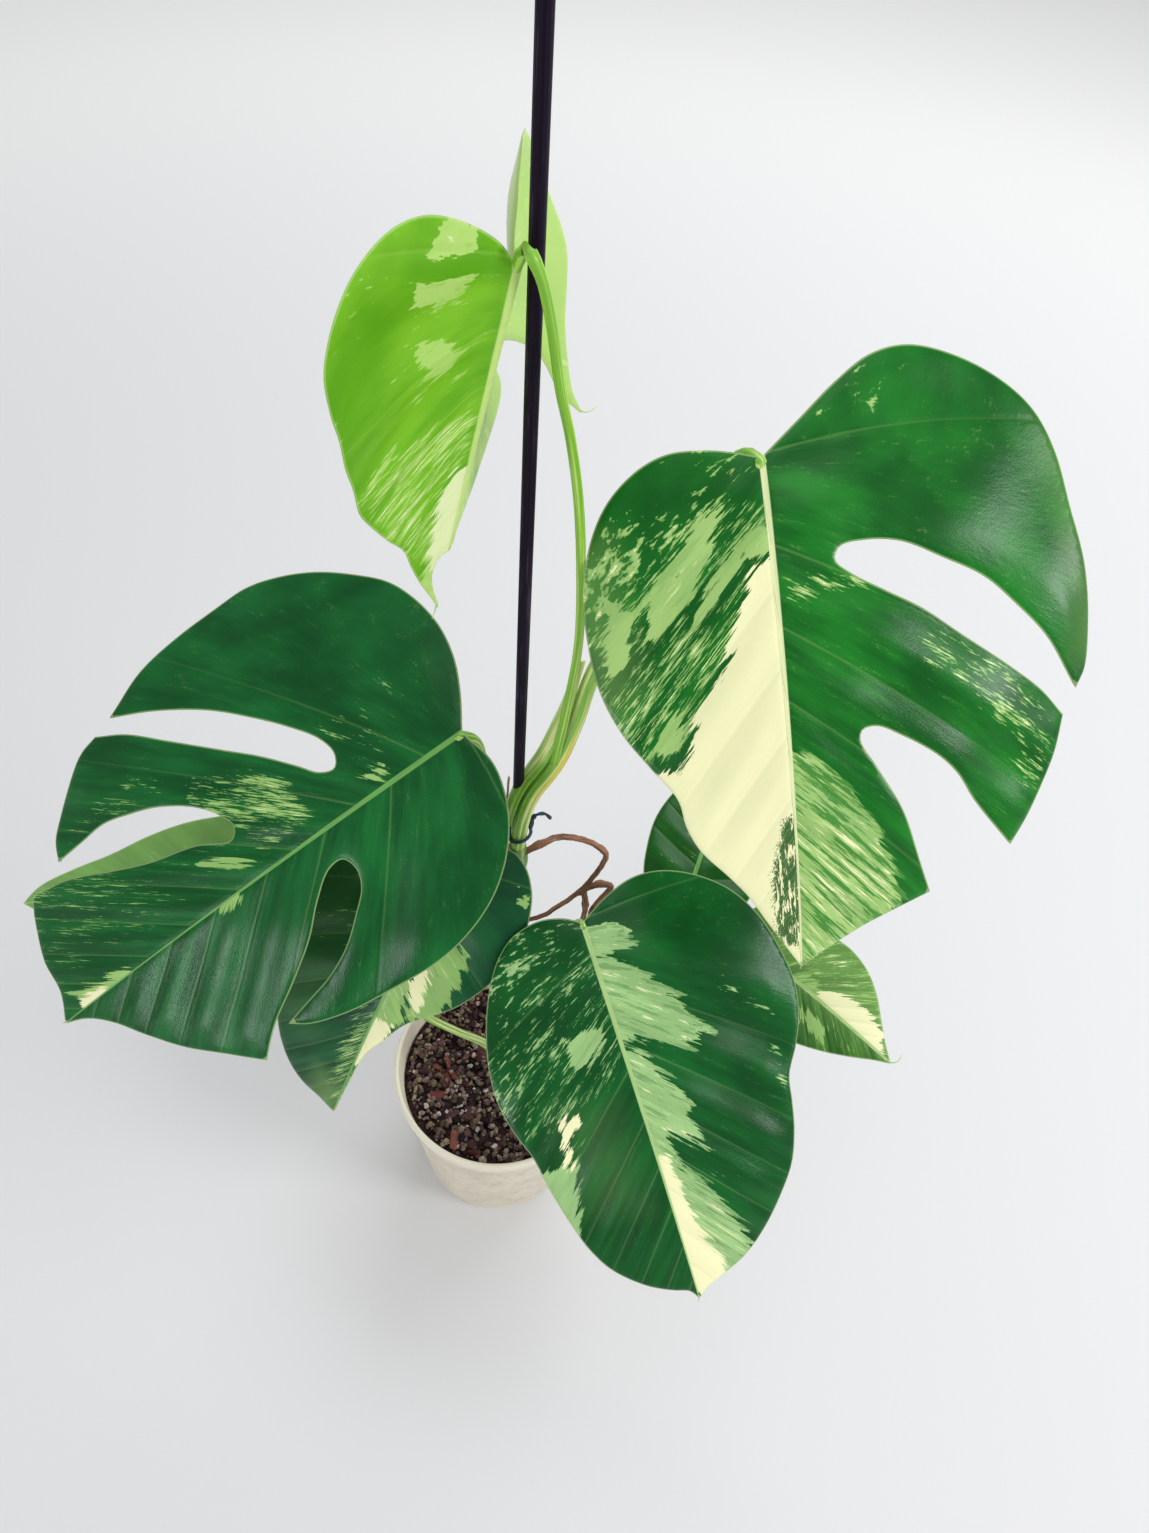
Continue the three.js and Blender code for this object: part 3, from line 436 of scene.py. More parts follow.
# %% Leaf table
LEAVES = {
    "leaf_1": dict(
        base=[1, -6, 613], tip=[-20, -9, 504], side=[-0.51, -0.85, 0.13], bend=0, left=-17, right=-24,
        droop=65, rear=-28,
        margin=[
            [[0, 1], [5, -4], [16, -10], [29, -14], [40, -13], [50, -7], [56, 2], [58, 12], [54, 24],
             [48, 36], [44, 46], [39, 56], [35, 66], [29, 74], [22, 82], [16, 88], [12, 96], [7, 105],
             [3, 111], [-2, 119]],
            [[-2, 119], [2, 110], [4, 102], [3, 96], [0, 92.5], [-4, 89], [-9, 84.5], [-15, 78.5],
             [-20, 71.5], [-26, 60], [-27, 54], [-24.5, 48], [-19, 42.5], [-12.5, 37], [-11, 34],
             [-15, 33], [-22, 36], [-32, 40.5], [-40, 45], [-46, 49], [-51, 54], [-55, 60], [-60, 68],
             [-69, 76]],
            [[-69, 76], [-65, 68], [-63, 58], [-62, 46], [-63, 35], [-63, 26], [-60, 18], [-55, 10],
             [-49, 1], [-41, -8], [-32, -14], [-25, -17.5], [-19, -17], [-13, -12], [-6, -4], [0, 1]],
        ],
        vein_slope=[(-14, -3.0), (-4, -0.9), (0, -0.25), (12, 0.3), (30, 0.8), (60, 1.4), (130, 2.4)],
    ),
    "leaf_2": dict(
        base=[75, 33, 535], tip=[114, -66, 394], side=[0.97, 0.2, 0.12], bend=22, left=8, right=4, droop=14,
        rear=0,
        margin=[
            [[0, 1], [-9, -2], [-18, -4], [-29, -4.5], [-39, -1], [-49, 7], [-56, 18], [-61, 34],
             [-62, 50], [-60, 68], [-54, 84], [-46, 97], [-38, 109], [-36, 119], [-32, 128], [-23, 139],
             [-17, 147], [-11, 158], [0, 178]],
            [[0, 178], [8, 173], [21, 167], [34, 163], [49, 159]],
            [[49, 159], [45, 145], [38, 123], [29, 105], [24, 95], [25, 91.5], [30, 91], [39, 96],
             [51, 105], [59, 114], [66, 126], [81, 148]],
            [[81, 148], [87, 139], [93, 128], [99, 116], [103, 103]],
            [[103, 103], [94, 92], [80, 80], [64, 67], [49, 55], [36, 47], [25, 40], [20, 35], [22, 31],
             [31, 30], [43, 32], [57, 39], [73, 48], [85, 60], [97, 74], [109, 94]],
            [[109, 94], [113, 87], [114, 71], [112, 51], [108, 31], [104, 11], [96, -4], [81, -17],
             [64, -25], [50, -28], [38, -26], [26, -19], [13, -9], [0, 1]],
        ],
        vein_slope=[
            (-10, -1.6), (0, -0.16), (3, 0.0), (14, 0.38), (42, 0.6), (80, 0.85), (130, 1.2), (190, 1.6),
        ],
        left_slope=[(-10, -0.6), (-4, 0.3), (0, 0.72), (14, 0.95), (42, 1.1), (80, 1.25), (190, 1.7)],
    ),
    "leaf_3": dict(
        base=[-15, 2, 423], tip=[-172, -74, 300], side=[0.64, -0.63, -0.43], bend=22, left=4, right=4,
        droop=12, rear=0,
        margin=[
            [[0, 1], [-13, -7], [-25, -12], [-39, -14], [-53, -12], [-65, -7], [-76, 3], [-86, 15],
             [-94, 29], [-99, 43], [-100, 60], [-100, 80], [-98, 103], [-91, 123]],
            [[-91, 123], [-81, 103], [-67, 82], [-53, 67], [-41, 56], [-30, 48], [-22, 46], [-17, 49],
             [-19, 55], [-26, 61], [-38, 72], [-49, 84], [-67, 104], [-80, 119], [-88, 133]],
            [[-88, 133], [-86, 143], [-80, 154], [-72, 166], [-64, 175], [-56, 178]],
            [[-56, 178], [-56, 163], [-56, 148], [-52, 134], [-47, 121], [-38, 107], [-29, 99], [-22, 96],
             [-18, 100], [-25, 115], [-31, 137], [-38, 155], [-47, 177], [-52, 200]],
            [[-52, 200], [-46, 204], [-38, 207], [-26, 210], [-12, 210], [0, 217]],
            [[0, 217], [4, 205], [12, 194], [24, 184], [37, 173], [49, 159], [60, 146]],
            [[60, 146], [50, 132], [40, 113], [30, 96], [20, 84], [13, 73], [13, 66], [19, 64], [26, 67],
             [33, 75], [41, 86], [47, 100], [50, 113], [53, 127]],
            [[53, 127], [58, 119], [63, 102], [65, 83], [66, 63], [64, 46], [58, 29], [49, 16], [39, 7],
             [28, 1], [15, -2], [0, 1]],
        ],
        vein_slope=[
            (-8, -1.5), (0, 0.1), (4, 0.3), (20, 0.66), (35, 0.8), (60, 1.15), (100, 1.4), (220, 2.0),
        ],
    ),
    "leaf_4": dict(
        base=[36, -29, 346], tip=[101.5, -141.5, 235.5], side=[0.91, 0.37, 0.16], bend=24, left=6, right=2,
        droop=16, rear=0,
        margin=[
            [[0, 1], [-7, -3], [-17.5, -5], [-29.5, -2], [-38, 5], [-45, 15.5], [-51, 29.5], [-55, 45],
             [-56, 61], [-53, 76.5], [-49, 89], [-47, 104], [-43, 121.5], [-38, 137], [-31.5, 149],
             [-20.5, 159.5], [-10, 165.5], [-3, 168.5], [0, 173.5]],
            [[0, 173.5], [5, 169.5], [13.5, 166.5], [24.5, 162.5], [35.5, 154], [47, 141], [55, 129.5],
             [60, 115.5], [62.5, 103], [64.5, 92], [71.5, 80.5], [76.5, 69.5], [79.5, 55], [77.5, 38],
             [72.5, 21.5], [64.5, 8], [53, -2], [38, -9], [25.5, -10], [12.5, -6], [0, 1]],
        ],
        vein_slope=[(-8, -1.4), (0, -0.1), (8, 0.35), (30, 0.7), (60, 0.95), (110, 1.3), (180, 1.9)],
    ),
    "leaf_5": dict(
        base=[-20.3, -16, 357.5], tip=[-64.7, -79.6, 247.5], side=[0.92, -0.35, -0.18], bend=26, left=6,
        right=6, droop=18, rear=0,
        margin=[
            [[0, 1], [-8, -8], [-19, -12], [-30, -9], [-39, 0], [-45, 14], [-49, 32], [-51, 52], [-50, 74],
             [-46, 96], [-39, 117], [-30, 130], [-20, 136], [-9, 138], [0, 141]],
            [[0, 141], [1, 120], [3, 98], [8, 86], [13, 75], [21, 66], [29, 57], [35, 46], [38, 38],
             [41, 26], [41, 12], [38, 0], [35, -6], [29, -13], [21, -17], [12, -15], [5, -7], [0, 1]],
        ],
        vein_slope=[(-10, -1.8), (0, -0.2), (10, 0.4), (40, 0.8), (90, 1.3), (150, 1.9)],
    ),
    "leaf_6": dict(
        base=[117, 9, 275], tip=[184, -37, 259], side=[0.5, 0.8, 0.35], bend=24, left=4, right=4, droop=12,
        rear=0,
        margin=[
            [[0, 1], [-6, -6], [-14, -8], [-21, -1], [-25, 12], [-26, 28], [-23, 44], [-17, 58], [-10, 70],
             [-4, 79], [0, 86]],
            [[0, 86], [5, 79], [12, 71], [20, 62], [26, 52], [29, 40], [28, 26], [26, 12], [22, 0],
             [15, -8], [7, -6], [0, 1]],
        ],
        vein_slope=[(-8, -1.8), (0, 0.0), (10, 0.6), (40, 1.2), (90, 1.9)],
    ),
    "leaf_7": dict(
        base=[88, 31, 277], tip=[113, 124, 272], side=[-0.95, 0.25, 0], bend=24, left=4, right=4, droop=16,
        rear=0,
        margin=[
            [[0, 1], [-7, -8], [-16, -9], [-25, -1], [-30, 14], [-31, 32], [-27, 52], [-19, 72], [-9, 88],
             [0, 101]],
            [[0, 101], [8, 89], [17, 74], [24, 56], [28, 37], [27, 18], [24, 4], [18, -7], [9, -9], [0, 1]],
        ],
        vein_slope=[(-8, -1.8), (0, 0.0), (10, 0.5), (50, 1.0), (110, 1.8)],
    ),
    "leaf_8": dict(
        base=[-94, 12, 299], tip=[-234, 3, 253], side=[0.1, -0.8, -0.5], bend=20, left=4, right=4, droop=12,
        rear=0,
        margin=[
            [[0, 1], [-8, -7], [-18, -8], [-25, 1], [-28, 18], [-28, 36], [-27, 54], [-23, 76], [-17, 97],
             [-13, 116], [-7, 138], [0, 149]],
            [[0, 149], [6, 137], [14, 118], [22, 97], [28, 74], [31, 50], [31, 26], [26, 6], [18, -6],
             [9, -7], [0, 1]],
        ],
        vein_slope=[(-8, -1.8), (0, 0.0), (12, 0.6), (50, 1.1), (155, 1.9)],
    ),
}
THICKNESS, RIB = 0.8, 2.2

# %% [markdown]
# ## Where each leaf is marbled
# Variegation starts in the growing tip and spreads along the side veins, so a leaf shows wedges of cream
# and pale green with torn edges, and fine flecks that lie along the veins. A picture could be painted and
# wrapped on, but it would be stuck to one size. Here each zone is a short outline on the flat leaf: cream,
# pale, dash (dark strokes in the cream), fleck (how densely flecked, from 0 to 1), and pale_and_sheen (how
# much paler the green is there, partly as paler tissue and partly as painted sheen). The shader tears the
# edges.

# %% Marbled zones
ZONES = {
    "leaf_1": dict(
        pale=[
            [(10, -10), (25, -12), (26, -4), (12, -2)], [(11, 3), (28, 2), (29, 8), (14, 9)],
            [(11, 20), (24, 18), (23, 26), (13, 31)],
            [(-70, -20), (0, -18), (0, 120), (-12, 120), (-75, 80)],
            [(-4, 86), (8, 84), (9, 120), (-6, 124)],
        ],
        cream=[[(0, 55), (5, 62), (8, 82), (6, 100), (0, 98)]],
        fleck=[
            (0.9, [(0, 40), (16, 46), (34, 52), (38, 62), (16, 92), (0, 100)]),
            (0.35, [(4, -12), (56, -12), (56, 40), (4, 44)]),
            (0.3, [(-62, 0), (0, 10), (0, 90), (-60, 60)]),
        ],
        pale_and_sheen=[(0.15, [(-80, -30), (0, -30), (0, 130), (-80, 130)])],
    ),
    "leaf_2": dict(
        cream=[
            [(2.2, 21), (2.2, 116), (0, 182), (-40, 182), (-48, 100), (-38, 98), (-33, 92), (-28, 80),
             (-18, 62), (-12, 48), (-7, 34), (0, 21)],
        ],
        pale=[
            [(2, 82), (10, 98), (20, 112), (29, 126), (37, 150), (38, 160), (34, 166), (0, 186), (0, 120)],
            [(-14, 14), (-22, 15), (-30, 29), (-42, 42), (-41, 54), (-31, 48), (-20, 30)],
            [(-3, 22), (-9, 26), (-28, 46), (-26, 50), (-8, 32), (-1, 26)],
            [(-54, 38), (-46, 44), (-49, 62), (-58, 64)], [(-40, 78), (-33, 74), (-36, 92), (-44, 92)],
        ],
        fleck=[
            (0.84, [(0, 14), (-20, 6), (-48, 10), (-64, 30), (-66, 60), (-56, 88), (-44, 100), (-34, 92),
             (-26, 78), (-8, 46), (0, 36)]),
            (0.55, [(0, -6), (-50, -10), (-52, 12), (-20, 8), (0, 14)]),
            (0.75, [(46, 58), (62, 66), (80, 80), (97, 98), (99, 118), (90, 132), (80, 110), (62, 84),
             (46, 72)]),
            (0.8, [(3, 38), (16, 38), (28, 41), (36, 46), (26, 46), (3, 46)]),
            (0.3, [(14, -22), (64, -30), (80, -16), (50, -10), (16, -4)]),
        ],
        dash=[[(1, 112), (-4, 118), (-9, 140), (-8, 168), (-2, 172), (0, 150)]],
        pale_and_sheen=[
            (0.28, [(98, -10), (116, 20), (118, 90), (108, 80), (104, 30)]),
            (0.3, [(-70, 20), (-52, 20), (-48, 70), (-60, 80)]),
        ],
    ),
    "leaf_3": dict(
        pale=[
            [(0, 157), (2, 175), (1, 190), (-4, 204), (-9, 206), (-5, 190), (-3, 172)],
            [(-5, 98), (-7, 102), (-17, 118), (-19, 116), (-12, 102)],
            [(-4, 31), (-7, 33), (-7, 40), (-4, 39)], [(1, 107), (3, 109), (4, 121), (1, 117)],
        ],
        cream=[[(-1, 172), (1, 182), (-1, 198), (-5, 204), (-3, 188)]],
        fleck=[
            (0.95, [(-5, 66), (-26, 66), (-34, 78), (-52, 106), (-34, 110), (-22, 96), (-5, 92)]),
            (0.55, [(-34, 28), (-18, 26), (-4, 30), (-4, 44), (-34, 46)]),
            (0.5, [(-60, 108), (-66, 118), (-66, 174), (-58, 176), (-54, 140), (-50, 118)]),
            (0.55, [(-8, 136), (-24, 136), (-34, 152), (-52, 172), (-54, 210), (-14, 212), (-12, 180)]),
            (0.35, [(-10, 96), (-36, 100), (-30, 134), (-8, 134)]),
            (0.25, [(-40, -6), (-16, 0), (-14, 20), (-50, 14)]),
        ],
        pale_and_sheen=[],
    ),
    "leaf_4": dict(
        pale=[
            [(1, 1), (10, 4), (18, 10), (14, 12), (19, 18), (10, 17), (1, 12)],
            [(1, 11), (8, 17), (15, 24), (20, 31), (28, 42), (30, 51), (39, 62), (30, 58), (33, 66),
             (24, 62), (15, 58), (8, 52), (1, 48)],
            [(0, 46), (8, 57), (12, 67), (21, 87), (17, 90), (23, 109), (12, 100), (7, 96), (8, 110),
             (16, 122), (23, 136), (29, 158), (26, 170), (-4, 176), (-2, 130), (-1, 90)],
            [(-22, 43), (-4, 44), (-5, 50), (-16, 59), (-22, 56)],
            [(-51, 96), (-40, 96), (-32, 94), (-37, 110), (-41, 128), (-46, 130)],
        ],
        cream=[
            [(0, 88), (4, 104), (7, 124), (9, 142), (15, 160), (14, 170), (0, 178), (-4, 168), (-3, 140)],
            [(-26, 75), (-33, 77), (-37, 86), (-38, 99), (-34, 96), (-31, 85), (-25, 79)],
        ],
        fleck=[
            (0.66, [(0, -4), (-30, -8), (-58, 30), (-60, 66), (-46, 84), (-20, 72), (0, 60)]),
            (0.5, [(-48, 76), (-26, 74), (-26, 100), (-46, 104)]),
            (0.9, [(44, 40), (56, 48), (55, 53), (44, 45)]),
            (0.9, [(56, 53), (68, 60), (66, 66), (56, 58)]),
            (0.8, [(58, 68), (66, 74), (64, 100), (58, 98)]),
            (0.5, [(20, 113), (29, 122), (27, 126), (19, 118)]),
        ],
        # this paler zone is painted sheen on the left half
        pale_and_sheen=[(0.1, [(-34, 72), (-10, 76), (-10, 124), (-34, 120)])],
    ),
    "leaf_5": dict(
        pale=[
            [(-1, 54), (10, 54), (10, 78), (5, 82), (-1, 78)], [(9, 31), (25, 31), (26, 68), (10, 74)],
            [(30, -4), (37, -4), (36, 2), (31, 1)],
        ],
        cream=[[(7, 44), (11, 44), (17, 60), (14, 68), (8, 58)], [(-1, 77), (9, 77), (8, 106), (-1, 108)]],
        fleck=[
            (0.9, [(-10, 72), (4, 72), (4, 132), (-8, 134)]),
            (0.3, [(-50, 15), (-20, 15), (-20, 60), (-50, 60)]),
        ],
        pale_and_sheen=[
            (0.5, [(-13, 122), (2, 122), (2, 145), (-13, 142)]),
            (0.1, [(-52, 10), (-24, 10), (-24, 108), (-52, 108)]),
        ],
    ),
    "leaf_6": dict(
        pale=[[(0, 10), (6, 30), (4, 60), (0, 60)], [(-8, 38), (-14, 40), (-13, 56), (-7, 54)]],
        cream=[[(1, 32), (6, 42), (9, 50), (12, 62), (10, 72), (3, 80), (0, 70)]],
        fleck=[
            (0.75, [(2, 0), (24, 0), (34, 40), (20, 66), (8, 74), (2, 60)]),
            (0.5, [(-2, 20), (-26, 20), (-20, 62), (-2, 74)]),
        ],
        pale_and_sheen=[(0.35, [(0, -10), (40, -10), (40, 90), (0, 90)])],
    ),
    "leaf_7": dict(pale=[], cream=[], fleck=[(0.25, [(-20, 10), (20, 10), (10, 60), (-10, 60)])], pale_and_sheen=[]),
    "leaf_8": dict(
        pale=[[(0, 60), (12, 64), (16, 90), (6, 110), (0, 100)]], cream=[],
        fleck=[(0.5, [(-24, 10), (0, 10), (0, 120), (-16, 90)])],
        pale_and_sheen=[(0.6, [(-40, -20), (40, -20), (40, 160), (-40, 160)])],
    ),
}
print("zones for", len(ZONES), "leaves")


# %% [markdown]
# ## Bending a flat leaf
# The blade is one curved sheet. Its midrib is an arc, each half is folded down a little at the midrib, and
# curls more towards its edge. Because the whole sheet is a formula of u and v, the skin can be as fine as
# wanted and still lies exactly where the coarser solid does.

# %% The bent sheet
def leaf_axes(leaf):
    """The leaf's length and its directions along, across and up."""
    base, tip, side = (np.array(leaf[key], float) for key in ("base", "tip", "side"))
    reach = tip - base
    length = np.linalg.norm(reach)
    along = reach / length
    across = unit(side - along * (side @ along))
    return base, length, along, across, np.cross(along, across)


def sheet_points(leaf, u, v):
    """Points of the bent sheet: an arc along v of total angle bend, and along |u| an arc that starts at the
    fold angle and turns by droop degrees per 100 mm. Past either end the arc goes on straight."""
    base, length, along, across, up = leaf_axes(leaf)
    bend = np.radians(leaf["bend"]) or 1e-6
    t = np.clip(v / length, 0, 1)
    angle = bend / 2 - bend * t
    beyond = v - length * t
    ahead = length * (np.sin(bend / 2) - np.sin(angle)) / bend + beyond * np.cos(angle)
    rise = length * (np.cos(angle) - np.cos(bend / 2)) / bend + beyond * np.sin(angle)
    rear = np.clip(1 - v / length, 0, 1.3)
    fold = np.radians(np.where(u < 0, leaf["left"] + leaf["rear"] * rear, leaf["right"]))
    curl = np.radians(leaf["droop"]) / 100
    out = np.sign(u) * (np.sin(fold + curl * np.abs(u)) - np.sin(fold)) / curl
    drop = (np.cos(fold + curl * np.abs(u)) - np.cos(fold)) / curl
    return (base + (ahead - drop * np.sin(angle))[:, None] * along
            + (rise + drop * np.cos(angle))[:, None] * up + out[:, None] * across)


def sheet_normals(leaf, u, v):
    """Upper side of the sheet: its change along v crossed with its change along u, away from the fold."""
    half = 0.5
    u = np.where(np.abs(u) < half, 0.0, u)
    ahead = sheet_points(leaf, u, v + half) - sheet_points(leaf, u, v - half)
    side = sheet_points(leaf, u + half, v) - sheet_points(leaf, u - half, v)
    return unit(np.cross(ahead, side))


# %% [markdown]
# ## A pattern of triangles for each blade
# A blade's outline has slits and corners, so a plain grid doesn't fit it. A constrained Delaunay
# triangulation takes the margin as its border and fills it with a staggered grid that is finer along the
# midrib, where the surface has its groove and rib.

# %% Margin, distances and triangles
MARGIN_STEP, GRID_STEP, ROW_STEP, RIB_STEP = 1.6, 2.1, 2.1 * 0.87, 2.0
RIB_COLUMNS = (0.0, 0.8, 1.6, 2.6, 4.0)
CLEAR_OF_MARGIN = 0.75


def signed_distance(points, outline):
    """Distance from each point to a closed outline, positive inside it."""
    a, b = outline, np.roll(outline, -1, axis=0)
    edge = b - a
    offset = points[:, None, :] - a[None]
    share = np.clip((offset * edge).sum(-1) / np.maximum((edge**2).sum(-1), 1e-9), 0, 1)
    away = np.sqrt(((offset - share[..., None] * edge) ** 2).sum(-1)).min(axis=1)
    x, y = points[:, :1], points[:, 1:]
    crosses = (a[:, 1] > y) != (b[:, 1] > y)
    slope = np.where(crosses, edge[:, 0] * (y - a[:, 1]) / np.where(edge[:, 1] == 0, 1e-9, edge[:, 1]), 0)
    inside = (crosses & (x < slope + a[:, 0])).sum(axis=1) % 2 == 1
    return np.where(inside, away, -away)


def turned(flat, triangles, way):
    """The triangles with their corners listed anticlockwise for way 1, or clockwise for way -1."""
    p = flat[triangles]
    a, b = p[:, 1] - p[:, 0], p[:, 2] - p[:, 0]
    wrong = way * (a[:, 0] * b[:, 1] - a[:, 1] * b[:, 0]) < 0
    triangles[wrong] = triangles[wrong][:, ::-1]
    return triangles


def blade_pattern(leaf):
    """Flat points and triangles of a blade, the margin's points first."""
    border = np.vstack([smooth_line(run, MARGIN_STEP)[:-1] for run in leaf["margin"]])
    low, high = border.min(axis=0), border.max(axis=0)
    rows = np.arange(low[1], high[1], ROW_STEP)
    columns = np.arange(RIB_COLUMNS[-1] + GRID_STEP, max(-low[0], high[0]), GRID_STEP)
    shift = np.where(np.arange(len(rows)) % 2, GRID_STEP / 2, 0.0)
    u = columns[None, :] + shift[:, None]
    v = np.broadcast_to(rows[:, None], u.shape)
    half = np.stack([u, v], axis=-1).reshape(-1, 2)
    rib_u = np.array([sign * c for c in RIB_COLUMNS for sign in (1, -1)][1:])
    rib = np.stack(np.meshgrid(rib_u, np.arange(RIB_STEP, high[1], RIB_STEP)), axis=-1).reshape(-1, 2)
    inner = np.vstack([half, half * [-1, 1], rib])
    flat = np.vstack([border, inner[signed_distance(inner, border) > CLEAR_OF_MARGIN]])
    loop = [list(range(len(border)))]
    made = delaunay_2d_cdt([Vector(p) for p in flat.tolist()], [], loop, 1, 1e-5)
    assert len(made[0]) == len(flat), "the margin crosses itself"
    return flat, turned(flat, np.array(made[2]), -1), len(border)


# %% [markdown]
# ## Veins
# Side veins leave the midrib at regular places and sweep towards the margin. Everything on the leaf follows
# them: the soft quilting between them, the flecks, and the torn edges of the pale wedges. So each point of
# a blade gets a second pair of coordinates: where on the midrib the vein through it starts, and how far out
# along that vein it is.

# %% Vein coordinates
VEIN_GAP, VEIN_BOW, VEINS_TRIED = 25.0, 0.0016, 120
COMMON_LENGTH = 170


def vein_origin(leaf, u, v):
    """Start m on the midrib of the vein through (u, v): v = m + slope(m) |u| + bow |u|^2, solved for m by
    looking v up between the heights of neighbouring veins. Also how far apart veins 1 mm apart there are."""
    right_table = np.array(leaf["vein_slope"], float).T
    left_table = np.array(leaf.get("left_slope", leaf["vein_slope"]), float).T
    m = np.linspace(right_table[0][0], right_table[0][-1], VEINS_TRIED)
    reach = np.abs(u)[:, None]
    climb = np.where(u[:, None] < 0, np.interp(m, *left_table), np.interp(m, *right_table))
    heights = m + climb * reach + VEIN_BOW * reach**2
    place = np.clip((heights < v[:, None]).sum(axis=1), 1, len(m) - 1)
    row = np.arange(len(u))
    low, high = heights[row, place - 1], heights[row, place]
    share = np.clip((v - low) / np.maximum(high - low, 1e-6), 0, 1)
    origin = m[place - 1] + share * (m[1] - m[0])
    spread = (high - low) / (m[1] - m[0])
    slope = np.where(u < 0, np.interp(origin, *left_table), np.interp(origin, *right_table))
    slope += 2 * VEIN_BOW * np.abs(u)
    return origin, spread / np.sqrt(1 + slope**2)


def vein_values(leaf, u, v):
    """Where the vein starts, its number, which is whole on each side vein and offset by a half from left to
    right, and the distance between neighbouring veins, which grows with the leaf and shrinks to its tip."""
    origin, stretch = vein_origin(leaf, u, v)
    length = leaf_axes(leaf)[1]
    gap = VEIN_GAP * (1.10 - 0.25 * np.clip(origin / length, 0, 1)) * length / COMMON_LENGTH
    number = origin / gap + np.where(u < 0, 0.5, 0.0)
    return origin, number, gap * stretch


# %% Zone fields
FAR, RIB_REACH = 25.0, 2.3


def signed_zone(points, outlines):
    """Largest signed distance to any outline, positive inside, held to 25 mm. An outline belongs to the half
    of the leaf that its middle is in: there it is drawn on across the midrib, and it ends at the midrib."""
    field = np.full(len(points), -FAR)
    for outline in outlines:
        shape = np.array(outline, float)
        side = np.sign(shape[:, 0].mean())
        shape[np.abs(shape[:, 0]) <= RIB_REACH, 0] = -side * FAR
        signed = signed_distance(points, shape)
        field = np.maximum(field, np.where(points[:, 0] * side < -0.5, -FAR, signed))
    return np.clip(field, -FAR, FAR)


def soft_zone(points, weighted, feather=5.0):
    """Largest weight of any zone at the point, fading out over feather millimetres."""
    field = np.zeros(len(points))
    for weight, outline in weighted:
        signed = signed_distance(points, np.array(outline, float))
        field = np.maximum(field, weight * np.clip(0.5 + signed / feather, 0, 1))
    return field


# %% [markdown]
# ## A blade's two skins
# The upper skin is the bent sheet with three small things added: a groove along the midrib, pillows between
# the side veins, and slow waves as in any leaf that grew. The lower skin uses the same triangles a leaf's
# thickness away, with the thick midrib standing out. A rounded rim joins the two.

# %% Blade meshes
QUILT, WAVE = 1.0, 0.8
CALM_MARGIN, CALM_RIB = 12, 10
GROOVE_DEPTH, GROOVE_HALF = 0.55, 1.2
RIM_THINNING, RIM_BULGE = 0.25, 0.22


def blade_part(name, seed):
    """Points, triangles and attributes of one blade. seed shifts its slow waves."""
    leaf = LEAVES[name]
    flat, triangles, border = blade_pattern(leaf)
    u, v = flat.T
    count = len(flat)
    origin, number, gap = vein_values(leaf, u, v)
    length = leaf_axes(leaf)[1]
    edge = np.abs(signed_distance(flat, flat[:border]))
    calm = np.clip(edge / CALM_MARGIN, 0, 1) * np.clip(np.abs(u) / CALM_RIB, 0, 1)
    fade = 1 - 0.5 * np.clip(origin / length, 0, 1)
    pillow = QUILT * np.clip(gap / 24, 0, 1.2) * fade * np.cos(2 * np.pi * (number + 0.5)) * calm
    slow = WAVE * np.clip(length / COMMON_LENGTH, 0.3, 1) * np.clip(np.abs(u) / 25, 0, 1)
    long_wave = np.sin(v / 17 + seed) * np.cos(u / 23 + 2 * seed)
    waves = slow * (long_wave + 0.5 * np.sin((u + v) / 11 + 3 * seed))
    taper = np.clip(1 - v / length, 0, 1) * np.clip(v / 4 + 0.5, 0, 1)
    groove = GROOVE_DEPTH * (0.35 + 0.65 * taper) * np.exp(-((u / GROOVE_HALF) ** 2))
    height = pillow + waves - groove
    rib = RIB * taper * np.exp(-((u / (1.3 + 1.2 * taper)) ** 2))
    normal = sheet_normals(leaf, u, v)
    sheet = sheet_points(leaf, u, v)
    thin = np.where(np.arange(count) < border, RIM_THINNING, 0.0)
    upper = sheet + normal * (height - thin)[:, None]
    lower = sheet + normal * (height + groove - THICKNESS + thin - rib)[:, None]
    outline = flat[:border]
    ahead = np.roll(outline, -1, axis=0)
    turn = np.sign((outline[:, 0] * ahead[:, 1] - ahead[:, 0] * outline[:, 1]).sum())
    back = np.roll(outline, 1, axis=0) - ahead
    outward = turn * unit(np.stack([-back[:, 1], back[:, 0]], axis=1))
    rim = sheet_points(leaf, *(outline + RIM_BULGE * outward).T)
    rim = rim + normal[:border] * (height[:border] - THICKNESS / 2)[:, None]
    points = np.vstack([upper, lower, rim])
    i = np.arange(border)
    j = (i + 1) % border
    if turn > 0:
        i, j = j, i
    top, low = 2 * count, count
    upper_rim = np.stack([j, i, i + top, j + top], axis=1)
    lower_rim = np.stack([j + top, i + top, i + low, j + low], axis=1)
    faces = [triangles, triangles[:, ::-1] + count, upper_rim, lower_rim]
    zone = ZONES[name]
    cream = signed_zone(flat, zone["cream"])
    pale = signed_zone(flat, zone["pale"])
    dash = signed_zone(flat, zone.get("dash", []))
    fleck = soft_zone(flat, zone["fleck"])
    # how much paler the green is: partly paler tissue, partly painted sheen
    pale_and_sheen = soft_zone(flat, zone["pale_and_sheen"], 16.0)
    both = np.concatenate([np.arange(count), np.arange(count), np.arange(border)])
    under = np.concatenate([np.zeros(count), np.ones(count), np.full(border, 0.5)])
    values = {
        "flat": np.stack([u[both], v[both], under], axis=1),
        "vein": np.stack([number[both], np.abs(u[both]), gap[both]], axis=1),
        "zone": np.stack([cream[both], pale[both], dash[both]], axis=1),
        "tone": np.stack([fleck[both], pale_and_sheen[both], edge[both]], axis=1),
        "origin": origin[both],
    }
    return points, faces, values


